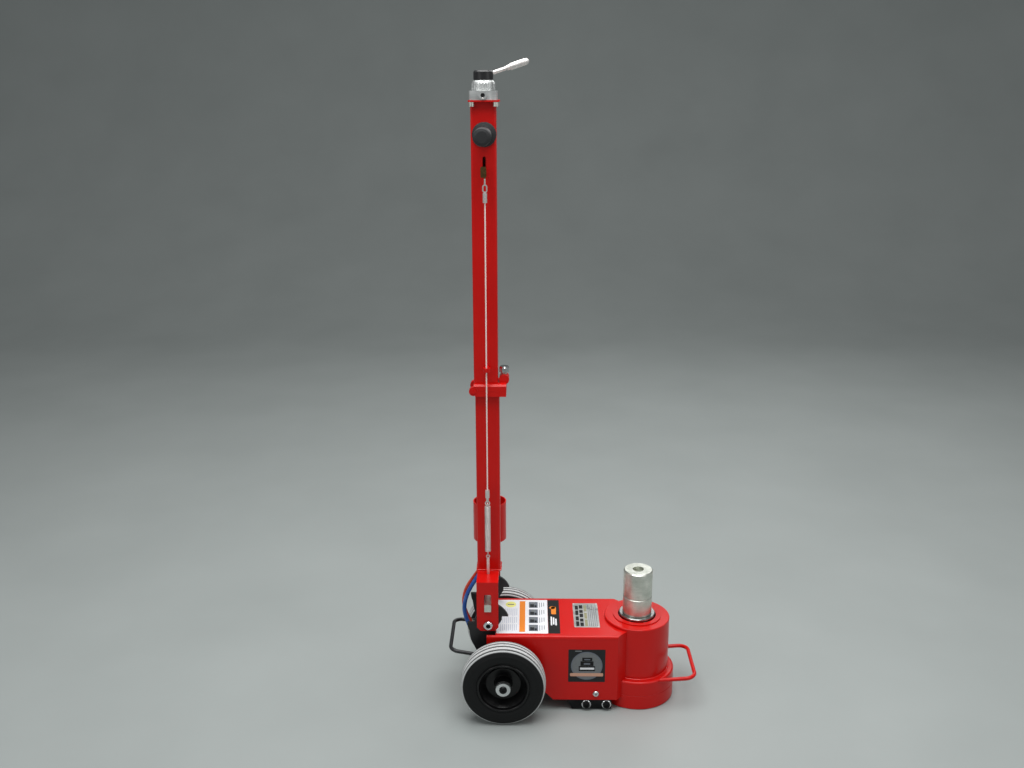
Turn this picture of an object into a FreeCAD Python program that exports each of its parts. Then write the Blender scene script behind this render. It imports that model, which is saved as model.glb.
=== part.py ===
"""Air-hydraulic trolley jack: three-stage ram, two rear wheels and a folding steering handle.

Row frame in millimetres: origin on the floor on the ram's axis, +X towards the jack's nose,
+Y towards its far side, +Z up. Each function makes one sub-part, and NODES at the end names them.
"""
import FreeCAD, Part
import math
import os

Vec = FreeCAD.Vector
X_AXIS = Vec(1, 0, 0)
Y_AXIS = Vec(0, 1, 0)
Z_AXIS = Vec(0, 0, 1)

# ---------------------------------------------------------------- driving dimensions
FIT = 0.05                 # radial clearance of a running fit
TOUCH = 0.15               # gap kept between curved faces that only rest on each other

# base, cylinder and ram
FOOT_R = 93.4
FOOT_TOP = 36.0
COLLAR_TOP = 73.6
SHELL_R = 79.0
SHELL_WALL = 6.0
CAP_Z = 199.0
CAP_TOP = 206.0
CAP_RING_R = 58.0
CAP_RING_TOP = 208.5
PRESSURE_R = 58.0
PRESSURE_BORE_R = 50.0
GLAND_Z = 186.0
STAGE_R = (43.0, 33.0, 23.0)
STAGE_BORE_R = (35.0, 25.0)
STAGE_FOOT_Z = (40.0, 58.0, 74.0)
STAGE_FOOT_H = 14.0
STAGE_LIP_H = 10.0
SADDLE_R = 43.5
SADDLE_Z = 209.0
SADDLE_TOP = 214.7
SOCKET_R = 13.5
SOCKET_DEPTH = 15.0
SPIGOT_R = 13.2
SPIGOT_LENGTH = 12.0
ADAPTER_R = 35.0
ADAPTER_TOPS = (260.5, 327.6)

# pump housing behind the cylinder
TANK_REAR = -364.0
TANK_FRONT = -52.6
TANK_NOSE = -25.0
TANK_NOSE_HALF = 67.0
TANK_HALF = 96.0
TANK_TOP = 199.0
TANK_FLOOR = 28.8
TANK_WALL = 4.0
TANK_BEND_R = 6.0
REAR_FLOOR = 86.0
SLOPE_START = -205.0
NOTCH_X = -343.0
NOTCH_Z = 190.0
NOTCH_HALF = 91.0
PLATE_SLOT_Z = 103.0
DECK_Z = (184.0, 189.0)

# wheels and axle
WHEEL_X = -323.7
WHEEL_R = 100.0
TYRE_IN = 109.0
TYRE_OUT = 166.0
RIM_R = 62.0
HUB_R = 20.7
HUB_END = 57.0             # length of the hub from the tyre's inner face
AXLE_R = 10.0
AXLE_SHOULDER_R = 14.0
BEARING_R = 17.5
BEARING_W = 12.0
BEARING_GAP = 0.2
AXLE_END = 166.2
WASHER_R = 16.7
WASHER_T = 3.0
AXLE_HEAD_R = 9.2

# frame plates and handle pivot
PIVOT_X = -360.0
PIVOT_Z = 224.0
PLATE_IN = 70.0
PLATE_OUT = 78.0
SECTOR_R = 50.0
TRACK_R = 33.3
PIVOT_BOLT_R = 7.0
PIVOT_COLLAR_R = 11.0
PIVOT_INNER = 64.0
FACE_X = (-396.0, -390.0)

# yoke and steering handle
YOKE_X = (-387.0, -336.0)
ARM_IN = 80.0
ARM_OUT = 86.0
ARM_FOOT = 207.0
YOKE_TOP = 333.0
YOKE_PLATE = 6.0
BAR_X = -361.0
BAR_W = 16.0
BAR_Z = (258.4, 276.7)
BAR_HALF = 90.0
SLOT_W = 16.6
SLOT_Z = (257.0, 301.0)
LOWER_TUBE_X = (-387.5, -332.5)
UPPER_TUBE_X = (-390.2, -335.2)
TUBE_HALF = 21.0
TUBE_WALL = 3.0
TUBE_CORNER = 5.0
SPLIT_Z = 783.0
SPLIT_GAP = 0.3
TUBE_TOP = 1417.0
LINES_X = -378.0
LINES_Y = (-10.0, 12.0)

# fold joint
HINGE_X = -391.0
KNUCKLE_R = 10.0
COLLAR_HALF = 33.0
COLLAR_RIGHT = -316.5
COLLAR_Z = (771.0, 799.0)
PIN_X = -321.5
PIN_R = 3.0
PIN_END = 775.5
BOSS_R = 11.5
BOSS_Z = 806.0
BOSS_HALF = 14.0
KNOB_R = 11.0
KNOB_Z = (821.0, 835.0)

# latch line
LINE_Y = -38.0
CABLE_R = 2.0
CABLE_TOP_X = -360.0       # the cable leans this far over at its top end
ROD_R = 3.3
ROD_TOP = 378.0
ROD_EYE_R = (4.8, 2.3)
SPRING_R = 7.0
SPRING_Z = (384.0, 507.0)
HOOK_Z = 513.2
HOOK_R = (6.0, 3.4)
CRIMP_R = 5.0
CRIMP_Z = (527.0, 546.0)
GUIDE_Z = (831.5, 840.5)
GUIDE_R = (8.5, 4.6)
EYE_Z = (1229.0, 1247.0)
EYE_R = 5.6
LINK_X = (-369.0, -356.5)
LINK_Z = (1261.0, 1284.0)
FERRULE_Z = (1208.0, 1228.0)
SLIDE_SLOT_Z = (1265.0, 1304.0)
SLIDE_BOLT_Z = 1272.0
SLIDE_X = -361.5
SLIDE_SLOT_HALF = 3.5
SLIDE_BOLT_R = 2.5
SLIDE_HEAD_R = 5.5

# top end of the handle
GRIP_Z = 1350.0
GRIP_END = 140.0
T_BAR_R = 11.0
HEAD_X = -362.5
FLANGE_X = (-394.0, -328.0)
FLANGE_HALF = 35.0
FLANGE_T = 3.5
HEAD_BOLT_X = (-387.0, -335.5)
HEAD_BOLT_Y = 28.0
HEAD_BOLT_R = 3.0
BLOCK_Z = (1420.7, 1439.4)
BLOCK_HALF = 29.0
INLET_Z = 1430.5
INLET_R = 4.5
INLET_DEPTH = 14.0
BONNET_R = 25.0
BONNET_Z = (1439.6, 1461.0)
CAP_KNOB_R = 21.0
CAP_KNOB_Z = (1461.4, 1481.0)
LEVER_RISE = 18.0

# screwed plugs on the near side
PLUG_X = (-125.5, -77.0)
PLUG_Z = 16.5
PLUG_SEAT = -84.0
PLUG_R = 9.0
FILLER_X = -103.0
FILLER_Z = 47.0
FILLER_R = 4.9

# air motor inside the housing
MOTOR_Z = 118.0
MOTOR_X = (-290.0, -150.0)
MOTOR_R = 44.0
MOTOR_BORE_R = 38.0
PLUNGER_R = 9.0

# hoses: each route runs from the fitting on the frame up into the yoke plate
HOSE_R = (5.0, 4.0)
HOSE_Y = (-10.0, 15.0)
HOSE_ROUTES = (
    [(-408.0, 175.0), (-418.5, 201.0), (-422.5, 230.0), (-415.0, 263.0), (-397.5, 296.5), (-376.0, 329.0)],
    [(-407.0, 177.0), (-420.0, 203.0), (-426.0, 233.0), (-419.0, 267.0), (-399.0, 298.0), (-377.0, 330.0)],
)
BEND_SHARE = 0.45          # share of the shorter run that each bend may use


# ---------------------------------------------------------------- shape helpers
def box(x, y, z):
    """Box between the pairs x, y and z."""
    shape = Part.makeBox(x[1] - x[0], y[1] - y[0], z[1] - z[0])
    shape.translate(Vec(x[0], y[0], z[0]))
    return shape


def rod(start, end, radius):
    """Round bar from start to end."""
    start, end = Vec(*start), Vec(*end)
    return Part.makeCylinder(radius, (end - start).Length, start, end - start)


def tube(start, end, radius, bore):
    """Round tube from start to end."""
    return rod(start, end, radius).cut(rod(start, end, bore))


def turned(profile, centre=(0, 0, 0), axis=Z_AXIS):
    """Lathe part: profile is (radius, distance along the axis)."""
    points = [Vec(r, 0, h) for r, h in profile]
    face = Part.Face(Part.makePolygon(points + points[:1]))
    solid = Part.makeSolid(face.revolve(Vec(0, 0, 0), Z_AXIS, 360))
    solid.Placement = FreeCAD.Placement(Vec(*centre), FreeCAD.Rotation(Z_AXIS, axis))
    return solid


def sheet_part(outline, y):
    """Flat part cut from the outline in X and Z, between the pair y."""
    points = [Vec(px, y[0], pz) for px, pz in outline]
    return Part.Face(Part.makePolygon(points + points[:1])).extrude(Vec(0, y[1] - y[0], 0))


def mirrored(shape):
    """The same part on the far side."""
    return shape.mirror(Vec(0, 0, 0), Y_AXIS)


def pair(shape):
    """A part and its twin on the other side."""
    return [shape, mirrored(shape)]


def square_tube(x, z, inset=0.0):
    """Box-section bar of the steering handle, between the pairs x and z."""
    bar = box((x[0] + inset, x[1] - inset), (inset - TUBE_HALF, TUBE_HALF - inset), z)
    corners = [e for e in bar.Edges if abs(e.tangentAt(0).z) > 0.9]
    return bar.makeFillet(TUBE_CORNER - inset, corners)


def path_wire(points, radii):
    """Straight runs through the points, joined by tangent arcs of the given radii."""
    corners = [Vec(*p) for p in points]
    edges = []
    last = corners[0]
    for before, corner, after, radius in zip(corners, corners[1:], corners[2:], radii):
        inward = (before - corner).normalize()
        outward = (after - corner).normalize()
        half_turn = (math.pi - inward.getAngle(outward)) / 2
        setback = radius * math.tan(half_turn)
        middle = (inward + outward).normalize() * (radius / math.cos(half_turn) - radius)
        arc_start = corner + inward * setback
        arc_end = corner + outward * setback
        if (arc_start - last).Length > 0.001:
            edges.append(Part.LineSegment(last, arc_start).toShape())
        edges.append(Part.Arc(arc_start, corner + middle, arc_end).toShape())
        last = arc_end
    edges.append(Part.LineSegment(last, corners[-1]).toShape())
    return Part.Wire(edges)


def swept(wire, radius):
    """Round bar along a wire."""
    start = wire.OrderedEdges[0]
    first = start.firstVertex(True).Point
    heading = start.tangentAt(start.FirstParameter)
    if (start.valueAt(start.FirstParameter) - first).Length > 0.001:
        heading = start.tangentAt(start.LastParameter) * -1
    ring = Part.Wire([Part.makeCircle(radius, first, heading)])
    return wire.makePipeShell([ring], True, False)


def route_radii(points):
    """Bend radius at each inner point: as large as its two runs allow."""
    corners = [Vec(*p) for p in points]
    radii = []
    for before, corner, after in zip(corners, corners[1:], corners[2:]):
        turn = math.pi - (before - corner).getAngle(after - corner)
        shorter = min((before - corner).Length, (after - corner).Length)
        radii.append(BEND_SHARE * shorter / math.tan(turn / 2))
    return radii


# ---------------------------------------------------------------- base, cylinder and ram
def base_plate():
    bevel = 2.0
    profile = [(0, 0), (FOOT_R - bevel, 0), (FOOT_R, bevel), (FOOT_R, FOOT_TOP - 1), (FOOT_R - 1, FOOT_TOP)]
    return [turned(profile + [(0, FOOT_TOP)])]


def base_collar():
    bore = SHELL_R + TOUCH
    rounding = 5.0
    profile = [(bore, FOOT_TOP), (FOOT_R - 1, FOOT_TOP), (FOOT_R, FOOT_TOP + 1)]
    profile.append((FOOT_R, COLLAR_TOP - rounding))
    steps = 4
    for i in range(1, steps + 1):
        angle = math.pi / 2 * i / steps
        profile.append((FOOT_R - rounding + rounding * math.cos(angle),
                        COLLAR_TOP - rounding + rounding * math.sin(angle)))
    profile.append((bore, COLLAR_TOP))
    return [turned(profile)]


def cylinder_shell():
    return [tube((0, 0, FOOT_TOP), (0, 0, CAP_Z), SHELL_R, SHELL_R - SHELL_WALL)]


def pressure_tube():
    return [tube((0, 0, FOOT_TOP), (0, 0, GLAND_Z), PRESSURE_R, PRESSURE_BORE_R + FIT)]


def cylinder_cap():
    bore = STAGE_R[0] + FIT
    groove = SADDLE_R + 2.5
    seal_z = CAP_Z + 2
    bevel = 1.5
    profile = [
        (bore, GLAND_Z), (PRESSURE_R, GLAND_Z), (PRESSURE_R, CAP_Z), (SHELL_R, CAP_Z),
        (SHELL_R, CAP_TOP - bevel), (SHELL_R - bevel, CAP_TOP), (CAP_RING_R, CAP_TOP),
        (CAP_RING_R, CAP_RING_TOP), (groove, CAP_RING_TOP), (groove, seal_z), (bore, seal_z),
    ]
    return [turned(profile)]


def wiper_seal():
    bottom = CAP_Z + 2
    outer = SADDLE_R + 2.5 - TOUCH
    inner = STAGE_R[0] + FIT
    return [turned([(inner, bottom), (outer, bottom), (outer, CAP_TOP), (inner, CAP_TOP - 2.5)])]


def ram_stage(number):
    """Hollow ram stage with a wider foot that stops under the lip of the stage outside it."""
    bores = (PRESSURE_BORE_R,) + STAGE_BORE_R
    foot_r = bores[number]
    foot_z = STAGE_FOOT_Z[number]
    foot_top = foot_z + STAGE_FOOT_H
    body_r = STAGE_R[number]
    bore = STAGE_BORE_R[number] + FIT
    lip = STAGE_R[number + 1] + FIT
    oil_hole = 9.0
    seal_depth = 3.0
    profile = [
        (oil_hole, foot_z), (foot_r, foot_z), (foot_r, foot_z + 4), (foot_r - seal_depth, foot_z + 4),
        (foot_r - seal_depth, foot_z + 9), (foot_r, foot_z + 9), (foot_r, foot_top), (body_r, foot_top),
        (body_r, CAP_TOP), (lip, CAP_TOP), (lip, CAP_TOP - STAGE_LIP_H), (bore, CAP_TOP - STAGE_LIP_H),
        (bore, foot_top), (oil_hole, foot_top),
    ]
    return [turned(profile)]


def piston_seal():
    """Ring in the groove of the outer stage's foot."""
    outer = PRESSURE_BORE_R
    inner = outer - 2.8
    bottom = STAGE_FOOT_Z[0] + 4 + TOUCH
    top = bottom + 4.6
    return [turned([(inner, bottom), (outer, bottom), (outer, top), (inner, top)])]


def ram_stage_3():
    """Solid inner stage with the round saddle that carries the adapters."""
    foot_z = STAGE_FOOT_Z[2]
    foot_top = foot_z + STAGE_FOOT_H
    bevel = 1.5
    profile = [
        (0, foot_z), (STAGE_BORE_R[1], foot_z), (STAGE_BORE_R[1], foot_top), (STAGE_R[2], foot_top),
        (STAGE_R[2], SADDLE_Z), (SADDLE_R, SADDLE_Z), (SADDLE_R, SADDLE_TOP - bevel),
        (SADDLE_R - bevel, SADDLE_TOP), (SOCKET_R, SADDLE_TOP), (SOCKET_R, SADDLE_TOP - SOCKET_DEPTH),
        (0, SADDLE_TOP - SOCKET_DEPTH),
    ]
    return [turned(profile)]


def adapter(bottom, top):
    """Round extension piece: a spigot below, the same socket as the ram's above."""
    bevel = 2.5
    spigot_z = bottom - SPIGOT_LENGTH
    profile = [
        (0, spigot_z), (SPIGOT_R - 1, spigot_z), (SPIGOT_R, spigot_z + 1),
        (SPIGOT_R, bottom), (ADAPTER_R - 1, bottom), (ADAPTER_R, bottom + 1), (ADAPTER_R, top - bevel),
        (ADAPTER_R - bevel, top), (SOCKET_R, top), (SOCKET_R, top - SOCKET_DEPTH), (0, top - SOCKET_DEPTH),
    ]
    return [turned(profile)]


def front_handle():
    """Bent rod welded to both sides of the base collar."""
    radius = 4.7
    half = 76.0
    bend = 24.0
    points = [(40, -half, 69.5), (143 - radius, -half, 78), (143 - radius, half, 78), (40, half, 69.5)]
    bar = swept(path_wire(points, [bend, bend]), radius)
    return [bar.cut(rod((0, 0, 0), (0, 0, 2 * COLLAR_TOP), FOOT_R + TOUCH))]


# ---------------------------------------------------------------- housing and frame
def housing_block(inset, rear_floor, slope_x, floor):
    """Block of the housing's outline in plan, cut to its outline from the side."""
    half = TANK_HALF - inset
    plan = [
        Vec(TANK_REAR + inset, -half, 0), Vec(TANK_FRONT, -half, 0), Vec(TANK_NOSE, inset - TANK_NOSE_HALF, 0),
        Vec(TANK_NOSE, TANK_NOSE_HALF - inset, 0), Vec(TANK_FRONT, half, 0), Vec(TANK_REAR + inset, half, 0),
    ]
    block = Part.Face(Part.makePolygon(plan + plan[:1])).extrude(Vec(0, 0, TANK_TOP - inset))
    slope_end = slope_x - (rear_floor - floor)
    side = [(TANK_REAR, rear_floor), (slope_end, rear_floor), (slope_x, floor), (0, floor),
            (0, TANK_TOP), (TANK_REAR, TANK_TOP)]
    return block.common(sheet_part(side, (-TANK_HALF, TANK_HALF)))


def tank_shell():
    """Folded sheet housing over the pump: open below at the rear, notched for the handle's frame."""
    outer = housing_block(0, REAR_FLOOR, SLOPE_START, TANK_FLOOR)
    top_edges = [
        e for e in outer.Edges
        if e.BoundBox.ZMin > TANK_TOP - 0.01 and e.BoundBox.YLength < 0.01 and e.BoundBox.XLength > 100
    ]
    outer = outer.makeFillet(TANK_BEND_R, top_edges)
    inner = housing_block(TANK_WALL, TANK_WALL, SLOPE_START - TANK_WALL, TANK_FLOOR + TANK_WALL)
    inside_half = TANK_HALF - TANK_WALL
    opening = box((TANK_REAR + TANK_WALL, SLOPE_START - TANK_WALL), (-inside_half, inside_half),
                  (TANK_FLOOR, REAR_FLOOR + 2))
    shell = outer.cut(inner).cut(opening)
    shell = shell.cut(rod((0, 0, 0), (0, 0, TANK_TOP + 1), SHELL_R + TOUCH))
    shell = shell.cut(rod((0, 0, 0), (0, 0, COLLAR_TOP + TOUCH), FOOT_R + TOUCH))
    shell = shell.cut(box((TANK_REAR - 1, NOTCH_X), (-NOTCH_HALF, NOTCH_HALF), (NOTCH_Z, TANK_TOP + 1)))
    slot_y = (PLATE_IN - 0.3, PLATE_OUT + 0.3)
    for slot in pair(box((TANK_REAR - 1, NOTCH_X), slot_y, (PLATE_SLOT_Z, TANK_TOP))):
        shell = shell.cut(slot)
    deck_seat = box((TANK_REAR - 1, TANK_REAR + TANK_WALL), (-PLATE_IN, PLATE_IN), (DECK_Z[0] - 0.2, TANK_TOP))
    shell = shell.cut(deck_seat)
    outside = TANK_HALF + 1
    axle_hole = rod((WHEEL_X, -outside, WHEEL_R), (WHEEL_X, outside, WHEEL_R), AXLE_SHOULDER_R + 0.5)
    plug_hole = rod((FILLER_X, -outside, FILLER_Z), (FILLER_X, 5 - TANK_HALF, FILLER_Z), FILLER_R + 0.1)
    return [shell.cut(axle_hole).cut(plug_hole)]


def frame_plate():
    """Near side plate: a leg from the axle up to the toothed head that the latch bar rides on."""
    y = (-PLATE_OUT, -PLATE_IN)

    def disc(centre_x, centre_z, radius):
        return rod((centre_x, y[0], centre_z), (centre_x, y[1], centre_z), radius)

    leg = sheet_part([(-345, 203), (-345, 130), (-302, 112), (-304, 88), (-332, 78), (-347, 86), (-390, 153),
                      (-402, 179), (-407, 211), (-390, 226), (-360, 226)], y)
    rail = sheet_part([(-330, 120), (-215, 120), (-215, 62), (-240, 62), (-268, 88), (-330, 88)], y)
    reach = 2 * SECTOR_R
    left, right = BAR_X - BAR_W / 2 - 0.5, BAR_X + BAR_W / 2 + 0.5
    head = disc(PIVOT_X, PIVOT_Z, SECTOR_R)
    track = box((PIVOT_X - reach, right), y, (PIVOT_Z - 0.5, PIVOT_Z + reach))
    head = head.cut(track).fuse(disc(PIVOT_X, PIVOT_Z, TRACK_R))
    head = head.cut(box((left, right), y, (BAR_Z[0] - 0.6, PIVOT_Z + reach)))
    relief = sheet_part([(-345, 204), (-328, 232), (-328, 241), (-300, 241), (-300, 170), (-345, 170)], y)
    tip = sheet_part([(-330, 240), (-318, 244), (-322, 256), (-335, 262)], y)
    plate = head.cut(relief).fuse(tip).fuse(leg).fuse(rail).fuse(disc(WHEEL_X, WHEEL_R, 24.0))
    plate = plate.cut(disc(WHEEL_X, WHEEL_R, AXLE_SHOULDER_R + FIT))
    plate = plate.cut(disc(PIVOT_X, PIVOT_Z, PIVOT_BOLT_R + FIT))
    return plate.removeSplitter()


def cross_plate():
    """Bent plate between the two side plates: a deck over the axle and a face for the hose fittings."""
    half = PLATE_IN - 0.2
    deck = box((FACE_X[0], NOTCH_X - 1), (-half, half), DECK_Z)
    face = box(FACE_X, (-half, half), (159, DECK_Z[1]))
    return [deck.fuse(face).removeSplitter()]


def axle():
    """Stepped axle: shoulders locate both wheels, ends are drilled for the end bolts."""
    shoulder = TYRE_IN + 2
    end = AXLE_END
    bar = rod((WHEEL_X, -end, WHEEL_R), (WHEEL_X, end, WHEEL_R), AXLE_R)
    bar = bar.fuse(rod((WHEEL_X, -shoulder, WHEEL_R), (WHEEL_X, shoulder, WHEEL_R), AXLE_SHOULDER_R))
    for sign in (-1, 1):
        bar = bar.cut(rod((WHEEL_X, sign * end, WHEEL_R), (WHEEL_X, sign * (end - 22), WHEEL_R), 5.0 + FIT))
    return [bar.removeSplitter()]


def axle_washers():
    face = -AXLE_END - WASHER_T
    return pair(tube((WHEEL_X, face, WHEEL_R), (WHEEL_X, -AXLE_END, WHEEL_R), WASHER_R, 5.2))


def axle_bolts():
    """Low button-head screws into the axle ends."""
    face = -AXLE_END - WASHER_T
    shank = rod((WHEEL_X, face, WHEEL_R), (WHEEL_X, -AXLE_END + 20, WHEEL_R), 5.0)
    head = turned([(0, 0), (AXLE_HEAD_R, 0), (AXLE_HEAD_R, 1.4), (8, 3.2), (6, 4), (4, 4), (4, 1.5), (0, 1.5)],
                  (WHEEL_X, face, WHEEL_R), -Y_AXIS)
    return pair(shank.fuse(head))


def pivot_bolts():
    """Shoulder bolts that the handle's yoke swings on."""
    head_y = -ARM_OUT - 0.4
    shank = rod((PIVOT_X, -PIVOT_INNER, PIVOT_Z), (PIVOT_X, head_y, PIVOT_Z), PIVOT_BOLT_R)
    collar = rod((PIVOT_X, -PLATE_IN + 0.2, PIVOT_Z), (PIVOT_X, -PIVOT_INNER, PIVOT_Z), PIVOT_COLLAR_R)
    profile = [(0, 0), (PIVOT_COLLAR_R, 0), (PIVOT_COLLAR_R, 7.6), (9.5, 9.2), (5.5, 9.2), (5.5, 4), (0, 4)]
    head = turned(profile, (PIVOT_X, head_y, PIVOT_Z), -Y_AXIS)
    return pair(shank.fuse(head).fuse(collar))


def rear_handle():
    """Bent rod welded to the outside of both side plates."""
    radius = 4.5
    root_x, root_half, root_z = -366.0, PLATE_OUT + radius + TOUCH + 0.1, 138.0
    end_x, end_half, end_z = -452.5, 76.0, 149.0
    bend = 22.0
    points = [(root_x, -root_half, root_z), (end_x, -end_half, end_z), (end_x, end_half, end_z),
              (root_x, root_half, root_z)]
    bar = swept(path_wire(points, [bend, bend]), radius)
    for plate in pair(box((TANK_REAR - SECTOR_R, 0), (-PLATE_OUT - 0.05, -PLATE_IN), (0, TANK_TOP))):
        bar = bar.cut(plate)
    return [bar]


def pump_block():
    """Steel valve block under the housing, with a bevelled rear end."""
    outline = [(-65, 3.5), (-160, 3.5), (-171, 26), (-171, TANK_FLOOR - 0.1), (-65, TANK_FLOOR - 0.1)]
    block = sheet_part(outline, (-94, 94))
    block = block.cut(rod((0, 0, 0), (0, 0, COLLAR_TOP), FOOT_R + TOUCH))
    for x in PLUG_X:
        block = block.cut(rod((x, -95, PLUG_Z), (x, PLUG_SEAT, PLUG_Z), PLUG_R + FIT))
    return [block]


def side_plugs():
    """Two screwed plugs in the valve block and the filler plug of the housing, all on the near side."""
    plug = [(0, 0), (PLUG_R, 0), (PLUG_R, 10), (11.5, 10), (11.5, 13), (10.5, 14), (8.6, 14), (8.6, 12),
            (0, 12)]
    filler = [(0, 0), (FILLER_R, 0), (FILLER_R, 7), (7.3, 7), (7.3, 11), (6, 12.5), (3, 12.5), (3, 9), (0, 9)]
    plugs = [turned(plug, (x, PLUG_SEAT, PLUG_Z), -Y_AXIS) for x in PLUG_X]
    return plugs + [turned(filler, (FILLER_X, 7 - TANK_HALF, FILLER_Z), -Y_AXIS)]


def hose_fittings():
    """Bent nickel fittings that turn the hoses into the frame's face plate."""
    fittings = []
    for y, radius, route in zip(HOSE_Y, HOSE_R, HOSE_ROUTES):
        end, inside = Vec(route[0][0], y, route[0][1]), Vec(route[1][0], y, route[1][1])
        heading = (inside - end).normalize()
        seat = end - heading * 8
        socket = Part.makeCylinder(radius + 2, 8 - 0.1, seat, heading)
        stem = rod((seat.x, y, seat.z), (FACE_X[0] - 0.1, y, seat.z), radius)
        nut = rod((FACE_X[0] - 3.5, y, seat.z), (FACE_X[0] - 0.1, y, seat.z), radius + 3)
        fittings.append(socket.fuse(stem).fuse(nut).fuse(Part.makeSphere(radius + 1.2, seat)))
    return fittings


def air_motor_cylinder():
    """Cylinder of the air motor and the pump barrel that its plunger works in."""
    rear, front = MOTOR_X
    end_t = 8.0
    barrel_r, barrel_length = 24.0, 62.0
    barrel = tube((rear, 0, MOTOR_Z), (front, 0, MOTOR_Z), MOTOR_R, MOTOR_BORE_R + FIT)
    back = rod((rear - end_t, 0, MOTOR_Z), (rear, 0, MOTOR_Z), MOTOR_R)
    pump = tube((front, 0, MOTOR_Z), (front + barrel_length, 0, MOTOR_Z), barrel_r, PLUNGER_R + FIT)
    flange = tube((front, 0, MOTOR_Z), (front + end_t, 0, MOTOR_Z), MOTOR_R, PLUNGER_R + FIT)
    foot = box((front + 10, front + 40), (-20, 20), (TANK_FLOOR + TANK_WALL, MOTOR_Z - barrel_r + 2))
    return [barrel.fuse(back).fuse(pump).fuse(flange).fuse(foot).removeSplitter()]


def air_piston():
    """Air piston with its pump plunger."""
    disc_t, boss_t, length = 16.0, 22.0, 150.0
    boss_r = 12.0
    profile = [(0, 0), (MOTOR_BORE_R, 0), (MOTOR_BORE_R, disc_t), (boss_r, disc_t), (boss_r, boss_t),
               (PLUNGER_R, boss_t), (PLUNGER_R, length), (0, length)]
    return [turned(profile, (MOTOR_X[0] + 2, 0, MOTOR_Z), X_AXIS)]


def return_spring():
    """Coil that pushes the air piston back."""
    start, end = MOTOR_X[0] + 22, MOTOR_X[1] - 2
    turns = 8
    coil_r, wire_r = 22.0, 2.0
    helix = Part.makeHelix((end - start - 2 * wire_r) / turns, end - start - 2 * wire_r, coil_r)
    ring = Part.Wire([Part.makeCircle(wire_r, Vec(coil_r, 0, 0), Y_AXIS)])
    coil = Part.Wire(helix.Edges).makePipeShell([ring], True, True)
    coil.Placement = FreeCAD.Placement(Vec(start + wire_r, 0, MOTOR_Z), FreeCAD.Rotation(Z_AXIS, X_AXIS))
    return [coil]


# ---------------------------------------------------------------- wheels
def tyre(side):
    """Solid rubber tyre with a crowned tread and four grooves round it."""
    width = TYRE_OUT - TYRE_IN
    crown, shoulder = 5.0, 7.0
    groove_w, groove_d = 5.0, 3.0
    tread = []
    for centre in (10.5, 22.5, 34.5, 46.5):
        for at, depth in ((-1, 0), (-1, 1), (1, 1), (1, 0)):
            h = centre + at * groove_w / 2
            crown_r = WHEEL_R - crown * (2 * (h / width) - 1) ** 2
            tread.append((crown_r - depth * groove_d, h))
    profile = [(RIM_R, 4), (WHEEL_R - 30, 1.5), (WHEEL_R - 16, 1), (WHEEL_R - shoulder, 4)] + tread
    profile += [(WHEEL_R - shoulder, width - 4), (WHEEL_R - 16, width - 1), (WHEEL_R - 30, width - 1.5),
                (RIM_R, width - 4)]
    crown_top = max(r for r, h in profile)
    profile = [(r + WHEEL_R - crown_top if r > WHEEL_R - shoulder else r, h) for r, h in profile]
    return [turned(profile, (WHEEL_X, side * TYRE_IN, WHEEL_R), Y_AXIS * side)]


def rim(side):
    """Pressed steel rim: a web at mid-width, a cone out to a rolled lip, and the hub for two bearings."""
    width = TYRE_OUT - TYRE_IN
    edge = RIM_R - TOUCH
    wall = 4.0
    web_in, web_out = 26.0, 30.0
    web_r, cone_r = 39.0, 54.5
    lip_r, lip_h = 3.0, width - 3.5
    steps = 6
    profile = [
        (BEARING_R + FIT, 2), (HUB_R, 2), (HUB_R, web_in), (cone_r - wall, web_in), (edge - wall, web_in - 6),
        (edge - wall, 5), (edge, 5),
    ]
    for i in range(steps + 1):
        angle = math.pi * i / steps
        profile.append((edge - lip_r + lip_r * math.cos(angle), lip_h + lip_r * math.sin(angle)))
    profile += [
        (cone_r, width - 8), (web_r + 2, web_out + 1), (web_r, web_out), (HUB_R + 1.5, web_out),
        (HUB_R, web_out + 1.5),
        (HUB_R, HUB_END - 1), (HUB_R - 1, HUB_END), (BEARING_R + FIT, HUB_END),
    ]
    return [turned(profile, (WHEEL_X, side * TYRE_IN, WHEEL_R), Y_AXIS * side)]


def wheel_bearings(side):
    """Two ball bearings of one wheel, each modelled as a sealed ring."""
    rings = []
    for start in (2 + BEARING_GAP, HUB_END - BEARING_W - BEARING_GAP):
        y = side * (TYRE_IN + start)
        end = y + side * BEARING_W
        rings.append(tube((WHEEL_X, y, WHEEL_R), (WHEEL_X, end, WHEEL_R), BEARING_R, AXLE_R + FIT))
    return rings


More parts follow.
